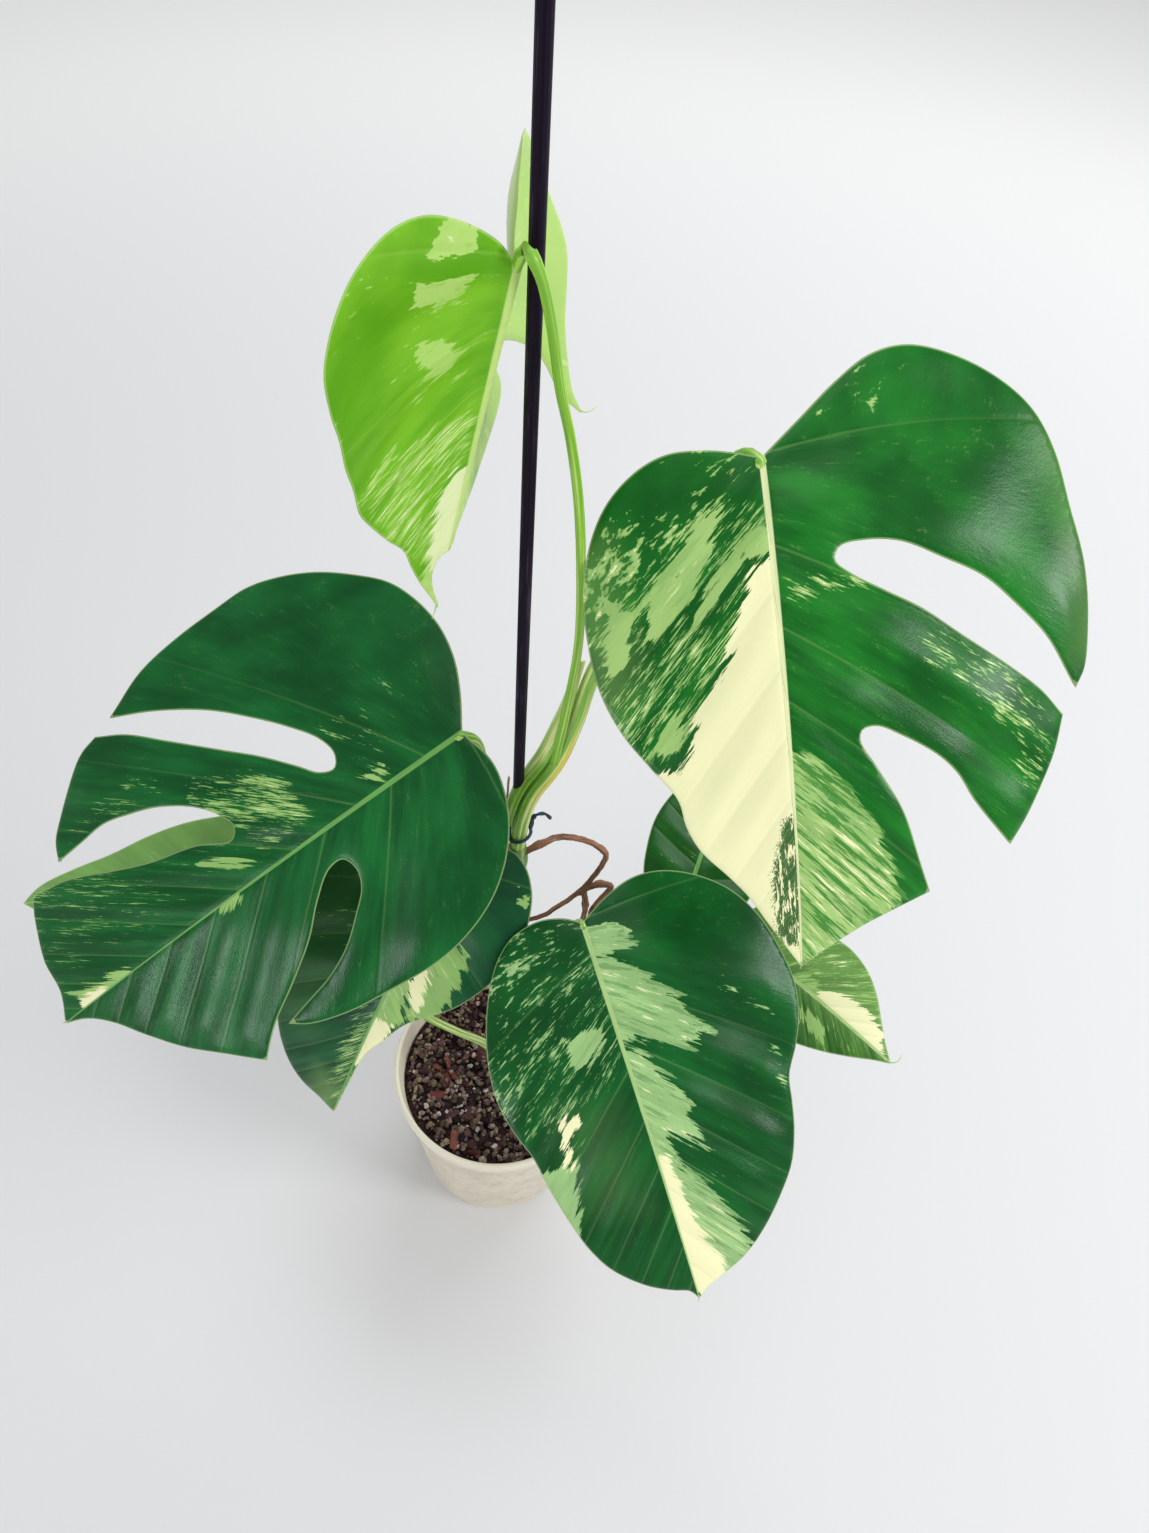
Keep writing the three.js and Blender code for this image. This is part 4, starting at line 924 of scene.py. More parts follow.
def hair_part(leaf, u, v, aim, length, curl, thick=0.35):
    """A fine dried thread at a leaf tip. It leaves (u, v) in the flat direction aim and bends to an arc of
    curl radians. Its attributes are those of a pale spot of the blade, so it takes the leaf's finish."""
    start = sheet_points(leaf, np.array([u, u + aim[0]], float), np.array([v, v + aim[1]], float))
    ahead = unit(start[1] - start[0])
    side = unit(np.cross(ahead, sheet_normals(leaf, np.array([u], float), np.array([v], float))[0]))
    t = np.linspace(0, 1, 22)[:, None]
    swing = curl * t
    line = start[0] - ahead * 1.0 + length * (ahead * np.sin(swing) + side * (1 - np.cos(swing))) / curl
    points, faces, _ = tube(line, thick * (1 - 0.75 * t[:, 0]), sides=8, reference=(0.2, 0.3, 1.0))
    count = len(points)
    values = {
        "flat": np.tile([12.0, v, 0.0], (count, 1)), "vein": np.tile([0.5, 12.0, 14.0], (count, 1)),
        "zone": np.tile([-FAR, 6.0, -FAR], (count, 1)), "tone": np.tile([0.0, 0.6, 9.0], (count, 1)),
        "origin": np.zeros(count),
    }
    return points, faces, values


HAIRS = {
    "leaf_1": [(-68.5, 75, (-0.6, 1.0), 9.0, 1.6), (-1.5, 118, (-0.2, 1.0), 6.0, -1.0)],
    "leaf_2": [(0, 177, (0.1, 1.0), 3.0, 0.6)],
    "leaf_3": [(0, 216, (0.1, 1.0), 3.0, 0.8), (-55.5, 177, (-0.2, 1.0), 2.5, 0.8)],
    "leaf_4": [(0, 172.5, (0.1, 1.0), 3.5, 0.8)],
    "leaf_6": [(0, 85, (0.0, 1.0), 9.0, -2.2)],
}

# %% [markdown]
# ## Leaf finish
# A healthy leaf is glossy dark green with a pale midrib and side veins that catch the light. Where it is
# marbled, its tissue lacks some or all of the green. Noise that is stretched along the side veins does
# three jobs: it tears the edges of the zones, it scatters the flecks, and it streaks the green itself.
# The under side is paler and duller, and a fine pale line follows the margin.

# %% Leaf finish
def leaf_paint(name, *tones, busy=0.3, veil=0.0, below=0.28, creamy=0.085):
    """The finish of a blade from five screen colours: its two greens, pale green, cream and midrib. busy is
    how streaked the pale wedges are, veil how much pale green lies over the greens, below how much paler the
    under side is, and creamy how far past a fleck's edge its cream core begins."""
    deep, mid, pale, cream, rib = (colour(*tone) for tone in tones)
    p = Paint(name, roughness=0.3, specular=0.2)
    u, v, under = p.three("flat")
    number, reach, gap = p.three("vein")
    cream_zone, pale_zone, dash_zone = p.three("zone")
    fleck, pale_and_sheen, edge = p.three("tone")
    origin = p.attribute("origin")
    # noise drawn out along the side veins, shifted between the halves so that they don't mirror each other
    half = p.step(u, -0.01, 0.01) * 40.0
    broad = p.stretched(origin * 0.09, reach * 0.03, half)
    streak = p.stretched(origin * 0.34, reach * 0.045, half + 7.0, 4.0, 0.62)
    fine = p.stretched(origin * 1.7, reach * 0.17, half + 3.0, 3.0, 0.65)
    speck = p.stretched(u * 1.1, v * 1.1, half, 2.0, 0.6)
    dusty = p.stretched(origin * 0.10, reach * 0.03, half + 5.0)
    hit = streak * 0.40 + fine * 0.60
    blotch = streak * 0.72 + fine * 0.28
    tear = (streak - 0.5) * 90.0 + (fine - 0.5) * 30.0
    # greens
    green = p.mix(p.step(broad + (streak - 0.5) * 0.4, 0.30, 0.74), deep, mid)
    # paler green over these zones: partly paler tissue, partly painted sheen
    green = p.mix(pale_and_sheen * 0.75, green, pale)
    green = p.mix(p.step(hit + (speck - 0.5) * 0.3, 0.56, 0.74) * (0.10 + veil), green, pale)
    # flecks, in two tones: where the noise passes a bar that is lower where there are more of them
    there = p.step(fleck, 0.01, 0.08)
    past = hit - (0.665 - fleck * 0.165 - (broad - 0.5) * 0.16)
    fleck_tone = p.mix(p.step(past, 0.0, 0.05), p.mix(0.5, mid, pale), pale)
    tone = p.mix(p.step(past + (speck - 0.5) * 0.05, -0.006, 0.010) * there, green, fleck_tone)
    tone = p.mix(p.step(past + (speck - 0.5) * 0.10, creamy, creamy + 0.015) * there, tone, cream)
    # pale wedges with torn edges, with green and cream in them
    in_pale = p.step(pale_zone + tear * 0.20, -0.15, 0.25)
    busy = busy * (0.3 + 0.7 * p.step(u, -1.0, 1.0))
    inner_green = p.mix(0.55 - 0.40 * busy, mid, pale)
    pale_tone = p.mix(p.step(broad + (fine - 0.5) * 0.4, 0.42, 0.62) * 0.30, pale, inner_green)
    greens = p.step(blotch, 0.59 - 0.08 * busy, 0.61 - 0.07 * busy) * busy
    creams = p.step(1.0 - blotch, 0.59 - 0.03 * busy, 0.61 - 0.02 * busy) * (0.3 + 0.6 * busy)
    pale_tone = p.mix(creams, p.mix(greens, pale_tone, inner_green), cream)
    tone = p.mix(in_pale, tone, pale_tone)
    # cream wedges, and dark dashes in them
    in_cream = p.step(cream_zone + tear * 0.17, -0.15, 0.25)
    cream_tone = p.mix(p.step(broad, 0.40, 0.75) * 0.22, cream, p.mix(0.30, cream, pale))
    tone = p.mix(in_cream, tone, cream_tone)
    strokes = p.step(p.stretched(u * 0.8, v * 0.11, 9.0, 3.0, 0.65), 0.44, 0.47)
    in_dash = p.step(dash_zone + (speck - 0.5) * 6.0 + (fine - 0.5) * 8.0, 0.0, 0.4) * strokes
    tone = p.mix(in_dash * 0.95, tone, p.mix(p.step(fine, 0.52, 0.6) * 0.4, deep, pale))
    # veins, midrib and margin
    to_vein = abs(p.math("FRACT", number + 0.5) - 0.5) * gap
    near_rib = p.step(reach, 75.0, 4.0)
    vein_line = (1.0 - p.step(to_vein, 0.1, 0.7)) * (0.3 + 0.7 * near_rib)
    tone = p.mix(vein_line * (1.0 - in_cream * 0.85) * 0.26, tone, p.mix(0.5, mid, pale))
    narrow = p.step(v, 170.0, 5.0)
    midrib = 1.0 - p.step(abs(u), 0.20 + 0.62 * narrow, 0.42 + 0.85 * narrow)
    tone = p.mix(midrib * 0.92, tone, rib)
    tone = p.mix((1.0 - p.step(edge, 0.1, 0.5)) * 0.42, tone, p.mix(0.3, pale, cream))
    # the under side, then gloss and relief
    lower = p.step(under, 0.55, 0.9)
    tone = p.mix(lower * below, tone, p.mix(0.5, pale, mid))
    shine = 0.19 + 0.12 * dusty + 0.10 * in_cream + 0.16 * lower + 0.06 * (speck - 0.5)
    ridge = (1.0 - p.step(to_vein, 0.0, 1.8)) * -0.5 * (0.4 + 0.6 * near_rib)
    return p.finish(tone, shine, fine * 0.30 + speck * 0.08 + ridge + midrib * 0.4, 0.3)


PALE, CREAM = (156, 196, 112), (243, 240, 190)
RIB_CREAM, RIB_GREEN, RIB_PALE = (226, 232, 176), (112, 168, 86), (168, 200, 128)
LEAF_PAINTS = [
    # leaf 1 shows its under side: its lime greens are partly that side's own paler colour and partly painted
    # light shining through the leaf from behind
    leaf_paint("young_leaf", (88, 160, 2), (122, 188, 30), (176, 212, 112), (222, 232, 176), (190, 218, 126),
               busy=0.5, veil=0.06, below=0.0),
    leaf_paint("leaf_marbled", (6, 84, 22), (26, 122, 34), (164, 200, 118), CREAM, RIB_CREAM,
               busy=1.0, veil=0.16, creamy=0.08),
    leaf_paint("leaf_blue_green", (4, 74, 28), (18, 104, 44), PALE, CREAM, RIB_GREEN,
               veil=0.05, creamy=0.12),
    leaf_paint("leaf_dark", (5, 70, 24), (14, 96, 36), (158, 196, 128), CREAM, RIB_PALE,
               busy=0.6, veil=0.06, creamy=0.11),
    leaf_paint("leaf_low", (8, 70, 38), (24, 94, 50), PALE, CREAM, RIB_GREEN),
    leaf_paint("leaf_small_marbled", (36, 92, 30), (84, 138, 50), PALE, CREAM, RIB_PALE,
               busy=0.7, veil=0.15),
    leaf_paint("leaf_small_dark", (8, 74, 12), (22, 94, 22), PALE, CREAM, RIB_GREEN),
    leaf_paint("leaf_small_light", (60, 124, 48), (96, 156, 70), PALE, CREAM, RIB_PALE,
               busy=0.5, veil=0.1),
]

# %% The eight blades
for seed, (name, finish) in enumerate(zip(LEAVES, LEAF_PAINTS), start=1):
    hairs = [hair_part(LEAVES[name], *hair) for hair in HAIRS.get(name, [])]
    points, faces, values = join_parts(blade_part(name, seed), *hairs)
    blade = make_piece(f"{name}_skin", points, faces, [f"{name}_blade"], values)
    blade.data.materials.append(finish)

# %% [markdown]
# ## Stalks and stem
# Each leaf stands on a round stalk that is thick where it clasps the stem, and thick again in the joint
# just under the blade, which turns the leaf to the light. A curve object with a bevel could do, but its
# profile stays the same all along. A tube from arrays lets the radius swell where the plant's does.

# %% Stalk paths
STALKS = {
    "leaf_1": dict(
        radii=[2, 1.6, 1.35],
        path=[
            [19, 6, 404], [22, 11, 430], [24, 15, 455], [24, 16, 474], [21, 13, 521], [17, 6, 554],
            [13.5, 0.5, 574], [10.5, -6, 598], [7.5, -9.5, 612], [4.5, -9.5, 617],
        ],
    ),
    "leaf_2": dict(
        radii=[3.1, 3.1, 2.3],
        path=[
            [7.1, -6.3, 362.6], [8, -5, 375], [9.8, -3, 385.5], [12.5, 0.2, 391.5], [16, 3.5, 396],
            [20.7, 7.7, 403.6], [26, 14.5, 420], [29.6, 19.6, 437.5], [36, 24.5, 457], [46, 32.6, 484.5],
            [57, 37.5, 507.5], [71, 37.5, 530],
        ],
    ),
    "leaf_3": dict(
        radii=[3.3, 2.7, 2.2],
        path=[
            [7.8, -6.7, 322], [2, -5.5, 335], [-2.5, -4.5, 352], [-4, -3, 375], [-7, 0, 400], [-12, 3, 416],
        ],
    ),
    "leaf_4": dict(
        radii=[3.2, 2.5, 2],
        path=[
            [8.5, -7, 228], [15, -11, 240], [23, -18, 264], [30, -24, 296], [34, -27, 326],
            [35.3, -27.5, 340],
        ],
    ),
    "leaf_5": dict(
        radii=[3, 2.3, 1.9],
        path=[[8.5, -7, 270], [2, -8, 282], [-8, -10, 310], [-15, -13, 334], [-19, -13.5, 349]],
    ),
    "leaf_6": dict(
        radii=[3, 2, 1.6],
        path=[[9.5, -7.5, 160], [19, -9, 165], [35, -10, 174], [64, -9, 200], [94, -1, 240], [112, 6, 265]],
    ),
    "leaf_7": dict(
        radii=[3, 2, 1.7],
        path=[[9.5, -7.5, 190], [16, -2, 199], [38, 10, 215], [62, 20, 241], [80, 27, 264]],
    ),
    "leaf_8": dict(
        radii=[3.2, 2.2, 1.7],
        path=[
            [8.5, -7, 125], [2, -5, 136], [-7, -1, 148], [-24, 0, 160], [-40, 0, 176], [-58, 2, 207],
            [-77, 8, 255], [-90, 11, 288],
        ],
    ),
}
STALK_STEP, STALK_SIDES = 2.0, 22
FOOT_SHARE = 0.22
JOINT_SWELL, JOINT_PLACE, JOINT_HALF = 0.30, 9, 5.5


def stalk_line(name):
    """The stalk's centre line, which ends just under the blade."""
    leaf = LEAVES[name]
    zero, three = np.zeros(1), np.full(1, 3.0)
    under = sheet_points(leaf, zero, three) - 1.2 * sheet_normals(leaf, zero, three)
    return smooth_line(np.vstack([STALKS[name]["path"], under]), STALK_STEP)


def stalk_part(name, seed):
    """A tube whose radius goes from foot to middle in the first fifth, stays so to half way, then goes to
    the top's, with a swollen joint just under the blade and faint ribs along it."""
    line = stalk_line(name)
    t = np.linspace(0, 1, len(line))
    foot, middle, top = STALKS[name]["radii"]
    lower = foot + (middle - foot) * np.clip(t / FOOT_SHARE, 0, 1)
    radius = np.where(t < 0.5, lower, middle + (top - middle) * (2 * t - 1))
    from_top = (1 - t) * np.linalg.norm(np.diff(line, axis=0), axis=1).sum()
    joint = JOINT_SWELL * np.exp(-(((from_top - JOINT_PLACE) / JOINT_HALF) ** 2))
    angle = np.linspace(0, 2 * np.pi, STALK_SIDES, endpoint=False)
    ribs = 0.018 * np.cos(7 * angle[None] + seed) + 0.012 * np.cos(11 * angle[None] + 2.0 * t[:, None])
    return tube(line, radius[:, None] * (1 + joint[:, None] + ribs), STALK_SIDES)


# %% Stalk finish
def stalk_paint(name, *tones, yellow=0.0):
    """Stripes that run along the stalk, from green to pale to cream, with small specks, and rather glossy.
    yellow is the weight of a yellow streak where the stalk bends."""
    green, pale, stripe = (colour(*tone) for tone in tones)
    p = Paint(name, roughness=0.38, specular=0.5, subsurface=0.10, scatter=(0.5, 0.8, 0.2))
    x, y, run = p.three("grain")
    lines = p.stretched(x * 1.8, y * 1.8, run * 0.012, 3.0, 0.65)
    thin = p.stretched(x * 6.0, y * 6.0, run * 0.035)
    specks = p.stretched(x * 5.0, y * 5.0, run * 0.5)
    tone = p.mix(p.step(lines, 0.42, 0.60), green, pale)
    tone = p.mix(p.step(lines + (thin - 0.5) * 0.5, 0.55, 0.62), tone, stripe)
    tone = p.mix(p.step(thin, 0.56, 0.66) * 0.35, tone, green)
    tone = p.mix(p.step(specks, 0.66, 0.74) * 0.4, tone, stripe)
    if yellow:
        bend = p.step(abs(run - 44.0), 24.0, 6.0) * p.step(x, 0.05, 0.45)
        tone = p.mix(bend * yellow * p.step(lines, 0.38, 0.50), tone, colour(232, 208, 72))
    return p.finish(tone, 0.32 + 0.12 * specks, lines * 0.5 + thin * 0.6, 0.12)


stalk_green = stalk_paint("stalk_green", (94, 154, 46), (154, 196, 86), (226, 230, 168))
stalk_striped = stalk_paint("stalk_striped", (118, 178, 54), (184, 216, 106), (240, 238, 170), yellow=0.8)
stalk_lime = stalk_paint("stalk_lime", (118, 176, 40), (152, 200, 66), (190, 220, 112))

# %% [markdown]
# The newest stalk comes out of a sheath: the winged, open foot of the stalk below it. Its section is
# a thin arc, wide in the middle of its length and closing towards both ends, and its free edges wave.

# %% Sheath
SHEATH = dict(start=0.08, stop=0.46, radius=6.6, wall=0.9, low=75, high=255, middle=(-2.4, 1.4))
LIP_SHARE, RIPPLE = 0.09, 0.35


def sheath_part():
    """A trough along the foot of leaf 2's stalk that narrows to its top, with thin edges that wave."""
    line = stalk_line("leaf_2")
    line = line[int(SHEATH["start"] * len(line)):int(SHEATH["stop"] * len(line))]
    t = np.linspace(0, 1, len(line))[:, None]
    narrow = 60 * np.maximum(0, t - 0.55)
    steps = np.linspace(0, 1, 22)[None]
    angle = np.radians(SHEATH["low"] + narrow + (SHEATH["high"] - SHEATH["low"] - 2 * narrow) * steps)
    lip = np.exp(-((steps / LIP_SHARE) ** 2)) + np.exp(-(((1 - steps) / LIP_SHARE) ** 2))
    ripple = RIPPLE * lip * np.sin(26 * t)
    radius = SHEATH["radius"] * (0.72 + 0.28 * np.sin(np.pi * np.minimum(1, 1.2 * t))) + ripple
    wall = SHEATH["wall"] * (1 - 0.55 * lip)
    direction = np.stack([np.cos(angle), np.sin(angle)], axis=-1)
    outer = radius[..., None] * direction + SHEATH["middle"]
    inner = (radius - wall)[..., None] * direction + SHEATH["middle"]
    points, faces = trough(line, outer, inner)
    turn_at = np.concatenate([angle, angle[:, ::-1]], axis=1)
    run = np.broadcast_to(STALK_STEP * np.arange(len(line))[:, None], turn_at.shape)
    grain = np.stack([np.cos(turn_at), np.sin(turn_at), run + 20], axis=-1).reshape(-1, 3)
    return points, faces, {"grain": grain}


# %% The eight stalks
for seed, name in enumerate(STALKS, start=1):
    parts = [stalk_part(name, seed)]
    if name == "leaf_2":
        parts.append(sheath_part())
    points, faces, values = join_parts(*parts)
    stalk = make_piece(f"{name}_stalk", points, faces, [f"{name}_petiole"], values)
    finish = {"leaf_1": stalk_lime, "leaf_2": stalk_striped}.get(name, stalk_green)
    stalk.data.materials.append(finish)

# %% Stem
STEM_PATH = [[8.5, -7, 72], [8.5, -7, 110], [9.5, -7.5, 170], [8.5, -7, 235], [8, -6.8, 300], [7, -6.3, 362]]
STEM_RADIUS, STEM_SIDES = 3.6, 26
STEM_NODES = [122, 158, 188, 226, 262, 318, 352]
stem_line = smooth_line(STEM_PATH, 1.2)
height = stem_line[:, 2:3]
from_node = height - np.array(STEM_NODES, float)[None]
swell = 0.8 * np.exp(-((from_node / 5) ** 2)).sum(axis=1)
ring_up, ring_down = np.exp(-(((from_node - 3.4) / 0.7) ** 2)), np.exp(-(((from_node - 5.0) / 0.8) ** 2))
scar = 0.28 * (ring_up - ring_down).sum(axis=1)
turn_angle = np.linspace(0, 2 * np.pi, STEM_SIDES, endpoint=False)[None]
uneven = 0.10 * np.sin(3 * turn_angle + height / 14) + 0.05 * np.sin(8 * turn_angle + height / 5)
points, faces, values = tube(stem_line, (STEM_RADIUS + swell + scar)[:, None] + uneven, STEM_SIDES)
stem = make_piece("stem_skin", points, faces, ["stem"], values)
stem.data.materials.append(stalk_paint("stem_green", (92, 132, 58), (150, 172, 92), (206, 208, 150)))

# %% [markdown]
# ## Aerial roots, dry sheath and tie
# Aerial roots leave the nodes: brown, a little woody, forked, and knobbly where they once branched. The
# papery strip is what is left of an old sheath, torn at its edges. The tie is a coated wire, wound once
# round stake and stalk and twisted.

# %% Aerial roots
ROOT_RADIUS, ROOT_STEP, ROOT_SIDES = 1.25, 0.9, 14
ROOT_RUNS = [
    [[7, -6.5, 354], [13, -5.5, 360], [18, -4, 363], [23, 0, 361.5], [31.5, 4, 356], [39, 6, 349.5],
     [44, 6, 343], [43, 5, 336], [39.5, 3.5, 327], [36, 2, 320], [33, 1, 316], [29.5, -0.5, 312],
     [25, -2.5, 309], [20.5, -5, 306], [9, -7.5, 301]],
    [[34, 1, 317], [39, 2, 322], [43.5, 3, 323.5], [48, 4, 321], [47.5, 5, 315], [44, 6, 304],
     [41, 8, 288], [42, 9, 270]],
    [[36, 2, 320], [37.5, 1, 312], [38, 1, 300], [36, 0, 286], [33, 0, 268]],
]


def root_part(run, seed):
    """A tube that thins along its run, with knobs and wrinkles from a few sine waves."""
    line = smooth_line(run, ROOT_STEP)
    t = np.linspace(0, 1, len(line))[:, None]
    reach = ROOT_STEP * np.arange(len(line))[:, None]
    angle = np.linspace(0, 2 * np.pi, ROOT_SIDES, endpoint=False)[None]
    knob = 0.35 * np.exp(-(((reach - 12) / 2.2) ** 2)) + 0.22 * np.exp(-(((reach - 47) / 2.5) ** 2))
    rough = 0.07 * np.sin(reach * 1.1 + 3 * angle + seed) + 0.05 * np.sin(reach * 2.7 - 2 * angle)
    return tube(line, ROOT_RADIUS * (1.15 - 0.35 * t) * (1 + knob + rough), ROOT_SIDES, (0.1, 1.0, 0.3))


points, faces, values = join_parts(*[root_part(run, seed) for seed, run in enumerate(ROOT_RUNS)])
roots = make_piece("aerial_root_skin", points, faces, ["aerial_roots"], values)
p = Paint("root_brown", roughness=0.7, specular=0.3)
x, y, run = p.three("grain")
patch = p.stretched(x * 1.5, y * 1.5, run * 0.11, 3.0)
fibre = p.stretched(x * 7.0, y * 7.0, run * 0.25)
tone = p.mix(p.step(patch, 0.36, 0.66), colour(98, 62, 48), colour(168, 118, 92))
tone = p.mix(p.step(fibre, 0.5, 0.7) * 0.5, tone, colour(196, 156, 128))
roots.data.materials.append(p.finish(tone, 0.6 + 0.25 * fibre, fibre + patch * 0.6, 0.4))

# %% Dry sheath
DRY_PATH = [[5.5, -5.5, 350], [2, -2, 357], [0.9, 2.5, 366], [1, 5, 378], [1.4, 5.5, 392]]
DRY_HALF, DRY_WALL, DRY_COLUMNS = 2.2, 0.5, 9


def dry_sheath_part():
    """A thin curled strip: across it the section is a shallow arch, its edges are torn by sine waves, and it
    narrows to its top."""
    line = smooth_line(DRY_PATH, 1.0)
    t = np.linspace(0, 1, len(line))[:, None]
    s = np.linspace(-1, 1, DRY_COLUMNS)[None]
    torn = 1 + 0.12 * np.sin(31 * t) * np.sign(s) + 0.08 * np.sin(17 * t + 1)
    b = DRY_HALF * (1 - 0.55 * t) * s * torn
    arch = 0.45 * (1 - s**2) + 0.12 * np.sin(9 * s + 12 * t)
    wall = 0.5 * DRY_WALL * (1.3 - s**2)
    points, faces = trough(line, np.stack([arch + wall, b], axis=-1), np.stack([arch - wall, b], axis=-1))
    shape = (len(line), 2 * DRY_COLUMNS)
    run = np.broadcast_to(np.arange(len(line))[:, None], shape)
    side = np.broadcast_to(np.concatenate([s, s[:, ::-1]], axis=1), shape)
    return points, faces, {"grain": np.stack([side, 0 * side, run], axis=-1).reshape(-1, 3)}


points, faces, values = dry_sheath_part()
dry = make_piece("dry_sheath_skin", points, faces, ["dry_sheath"], values)
p = Paint("dry_sheath", roughness=0.75, specular=0.25)
x, y, run = p.three("grain")
fibre = p.stretched(x * 6.0, y, run * 0.06, 3.0)
tone = p.mix(p.step(fibre, 0.38, 0.66), colour(150, 98, 84), colour(216, 178, 154))
dry.data.materials.append(p.finish(tone, 0.75, fibre, 0.4))

# %% Tie
TIE = dict(wire=0.7, z=369.0, slope=0.42)
TIE_TAIL = [[12.5, 0, 374], [14.5, 0.5, 376], [17, 1, 376], [19.5, 0.5, 374]]
STAKE = dict(x=6.0, y=1.0, radius=2.1, bottom=16.0, top=705.0)
GAP, WIRE_SIDES = 0.3, 12
UPWARDS = (0, 0, 1)


def turn_round(x, y, radius, start, stop):
    """Seven points of a tilted circle round (x, y), from the angle start to stop in degrees."""
    angle = np.radians(np.linspace(start, stop, 7))
    px, py = x + radius * np.cos(angle), y + radius * np.sin(angle)
    return np.stack([px, py, TIE["z"] + TIE["slope"] * (px - STAKE["x"])], axis=1)


tied = stalk_line("leaf_2")
tied = tied[int(round(0.05 * (len(tied) - 1)))]
round_stalk = STALKS["leaf_2"]["radii"][0] + 2 * GAP + TIE["wire"]
round_stake = STAKE["radius"] + GAP + TIE["wire"]
loop = np.vstack([
    turn_round(tied[0], tied[1], round_stalk, 25, -140),
    turn_round(STAKE["x"], STAKE["y"], round_stake, 205, 50),
    [[TIE_TAIL[0][0] - 1.2, TIE_TAIL[0][1], TIE_TAIL[0][2] - 1]]])
tail_line = smooth_line(np.vstack([loop[:1], TIE_TAIL]), 0.4)
twist = np.linspace(0, 1, len(tail_line))[:, None]
angle = np.linspace(0, 2 * np.pi, WIRE_SIDES, endpoint=False)[None]
tail_radius = TIE["wire"] * (np.where(twist < 0.45, 1.35, 0.95) + 0.22 * np.cos(2 * angle + 22 * twist))
tie_loop = tube(smooth_line(loop, 0.5), TIE["wire"], WIRE_SIDES, UPWARDS)
points, faces, values = join_parts(tie_loop, tube(tail_line, tail_radius, WIRE_SIDES, UPWARDS))
tie = make_piece("tie_wire", points, faces, ["tie"], values)
p = Paint("tie_coating", roughness=0.45, specular=0.5)
scuff = p.noise(p.place(), 0.9)
tone = p.mix(p.step(scuff, 0.4, 0.7), colour(14, 44, 60), colour(34, 82, 98))
tie.data.materials.append(p.finish(tone, 0.4 + 0.2 * scuff, scuff, 0.15))

# %% [markdown]
# ## Stake
# A drawn plastic rod, dark purple-brown, with fine lines along it from drawing and a slight sheen: partly
# its gloss, and partly painted sheen in pale bluish streaks along it. Its point is hidden in the bark mix.
# It is a tube along an upright line whose radius changes at its two ends.

# %% Stake
STAKE_SIDES, STRAIGHT_ROWS, CROWN = 32, 60, 1.4
r, low, top = STAKE["radius"], STAKE["bottom"], STAKE["top"]
crown = np.radians([25, 50, 72, 86])
straight = np.linspace(low + 30, top - CROWN, STRAIGHT_ROWS)
crown_z = top - CROWN + (CROWN - 0.05) * np.sin(crown)
stake_z = np.concatenate([[low, low + 1, low + 4, low + 9], straight, crown_z])
stake_r = np.concatenate([[0.5, 0.5 * r, 0.8 * r, r], np.full(STRAIGHT_ROWS, r), r * np.cos(crown)])
stake_line = np.stack([0 * stake_z + STAKE["x"], 0 * stake_z + STAKE["y"], stake_z], axis=1)
facets = 0.012 * np.cos(16 * np.linspace(0, 2 * np.pi, STAKE_SIDES, endpoint=False))[None]
points, faces, values = tube(stake_line, stake_r[:, None] * (1 + facets), STAKE_SIDES)
stake = make_piece("stake_rod", points, faces, ["stake"], values)
p = Paint("stake_plastic", roughness=0.3, specular=0.1)
x, y, run = p.three("grain")
drawn = p.stretched(x * 7.0, y * 7.0, run * 0.01, 3.0)
sheen_streaks = p.stretched(x * 2.0, y * 2.0, run * 0.05, 3.0)
tone = p.mix(p.step(drawn, 0.40, 0.64), colour(12, 3, 18), colour(26, 12, 34))
# painted sheen: pale bluish streaks along the rod, which are also rougher
tone = p.mix(p.step(sheen_streaks, 0.58, 0.70) * 0.3, tone, colour(84, 70, 96))
stake.data.materials.append(p.finish(tone, 0.28 + 0.25 * sheen_streaks, drawn, 0.12))

# %% [markdown]
# ## Pot
# A thin, milky nursery pot. It is a profile turned about the axis, closed by a floor with six drain holes.
# The floor is one flat pattern of triangles with the holes left out, used for both of its faces.

# %% Pot
POT = dict(height=120.0, base=47.0, shoulder=56.5, rim=60.0, wall=1.5, floor=2.5)
POT_LIP, FLOOR_GRID = 13.0, 5.0
DRAIN = dict(count=6, radius=4.0, circle=31.0, sides=24)
SEGMENTS = 144


def circle_points(x, y, radius, count):
    angle = np.linspace(0, 2 * np.pi, count, endpoint=False)
    return np.stack([x + radius * np.cos(angle), y + radius * np.sin(angle)], axis=1)


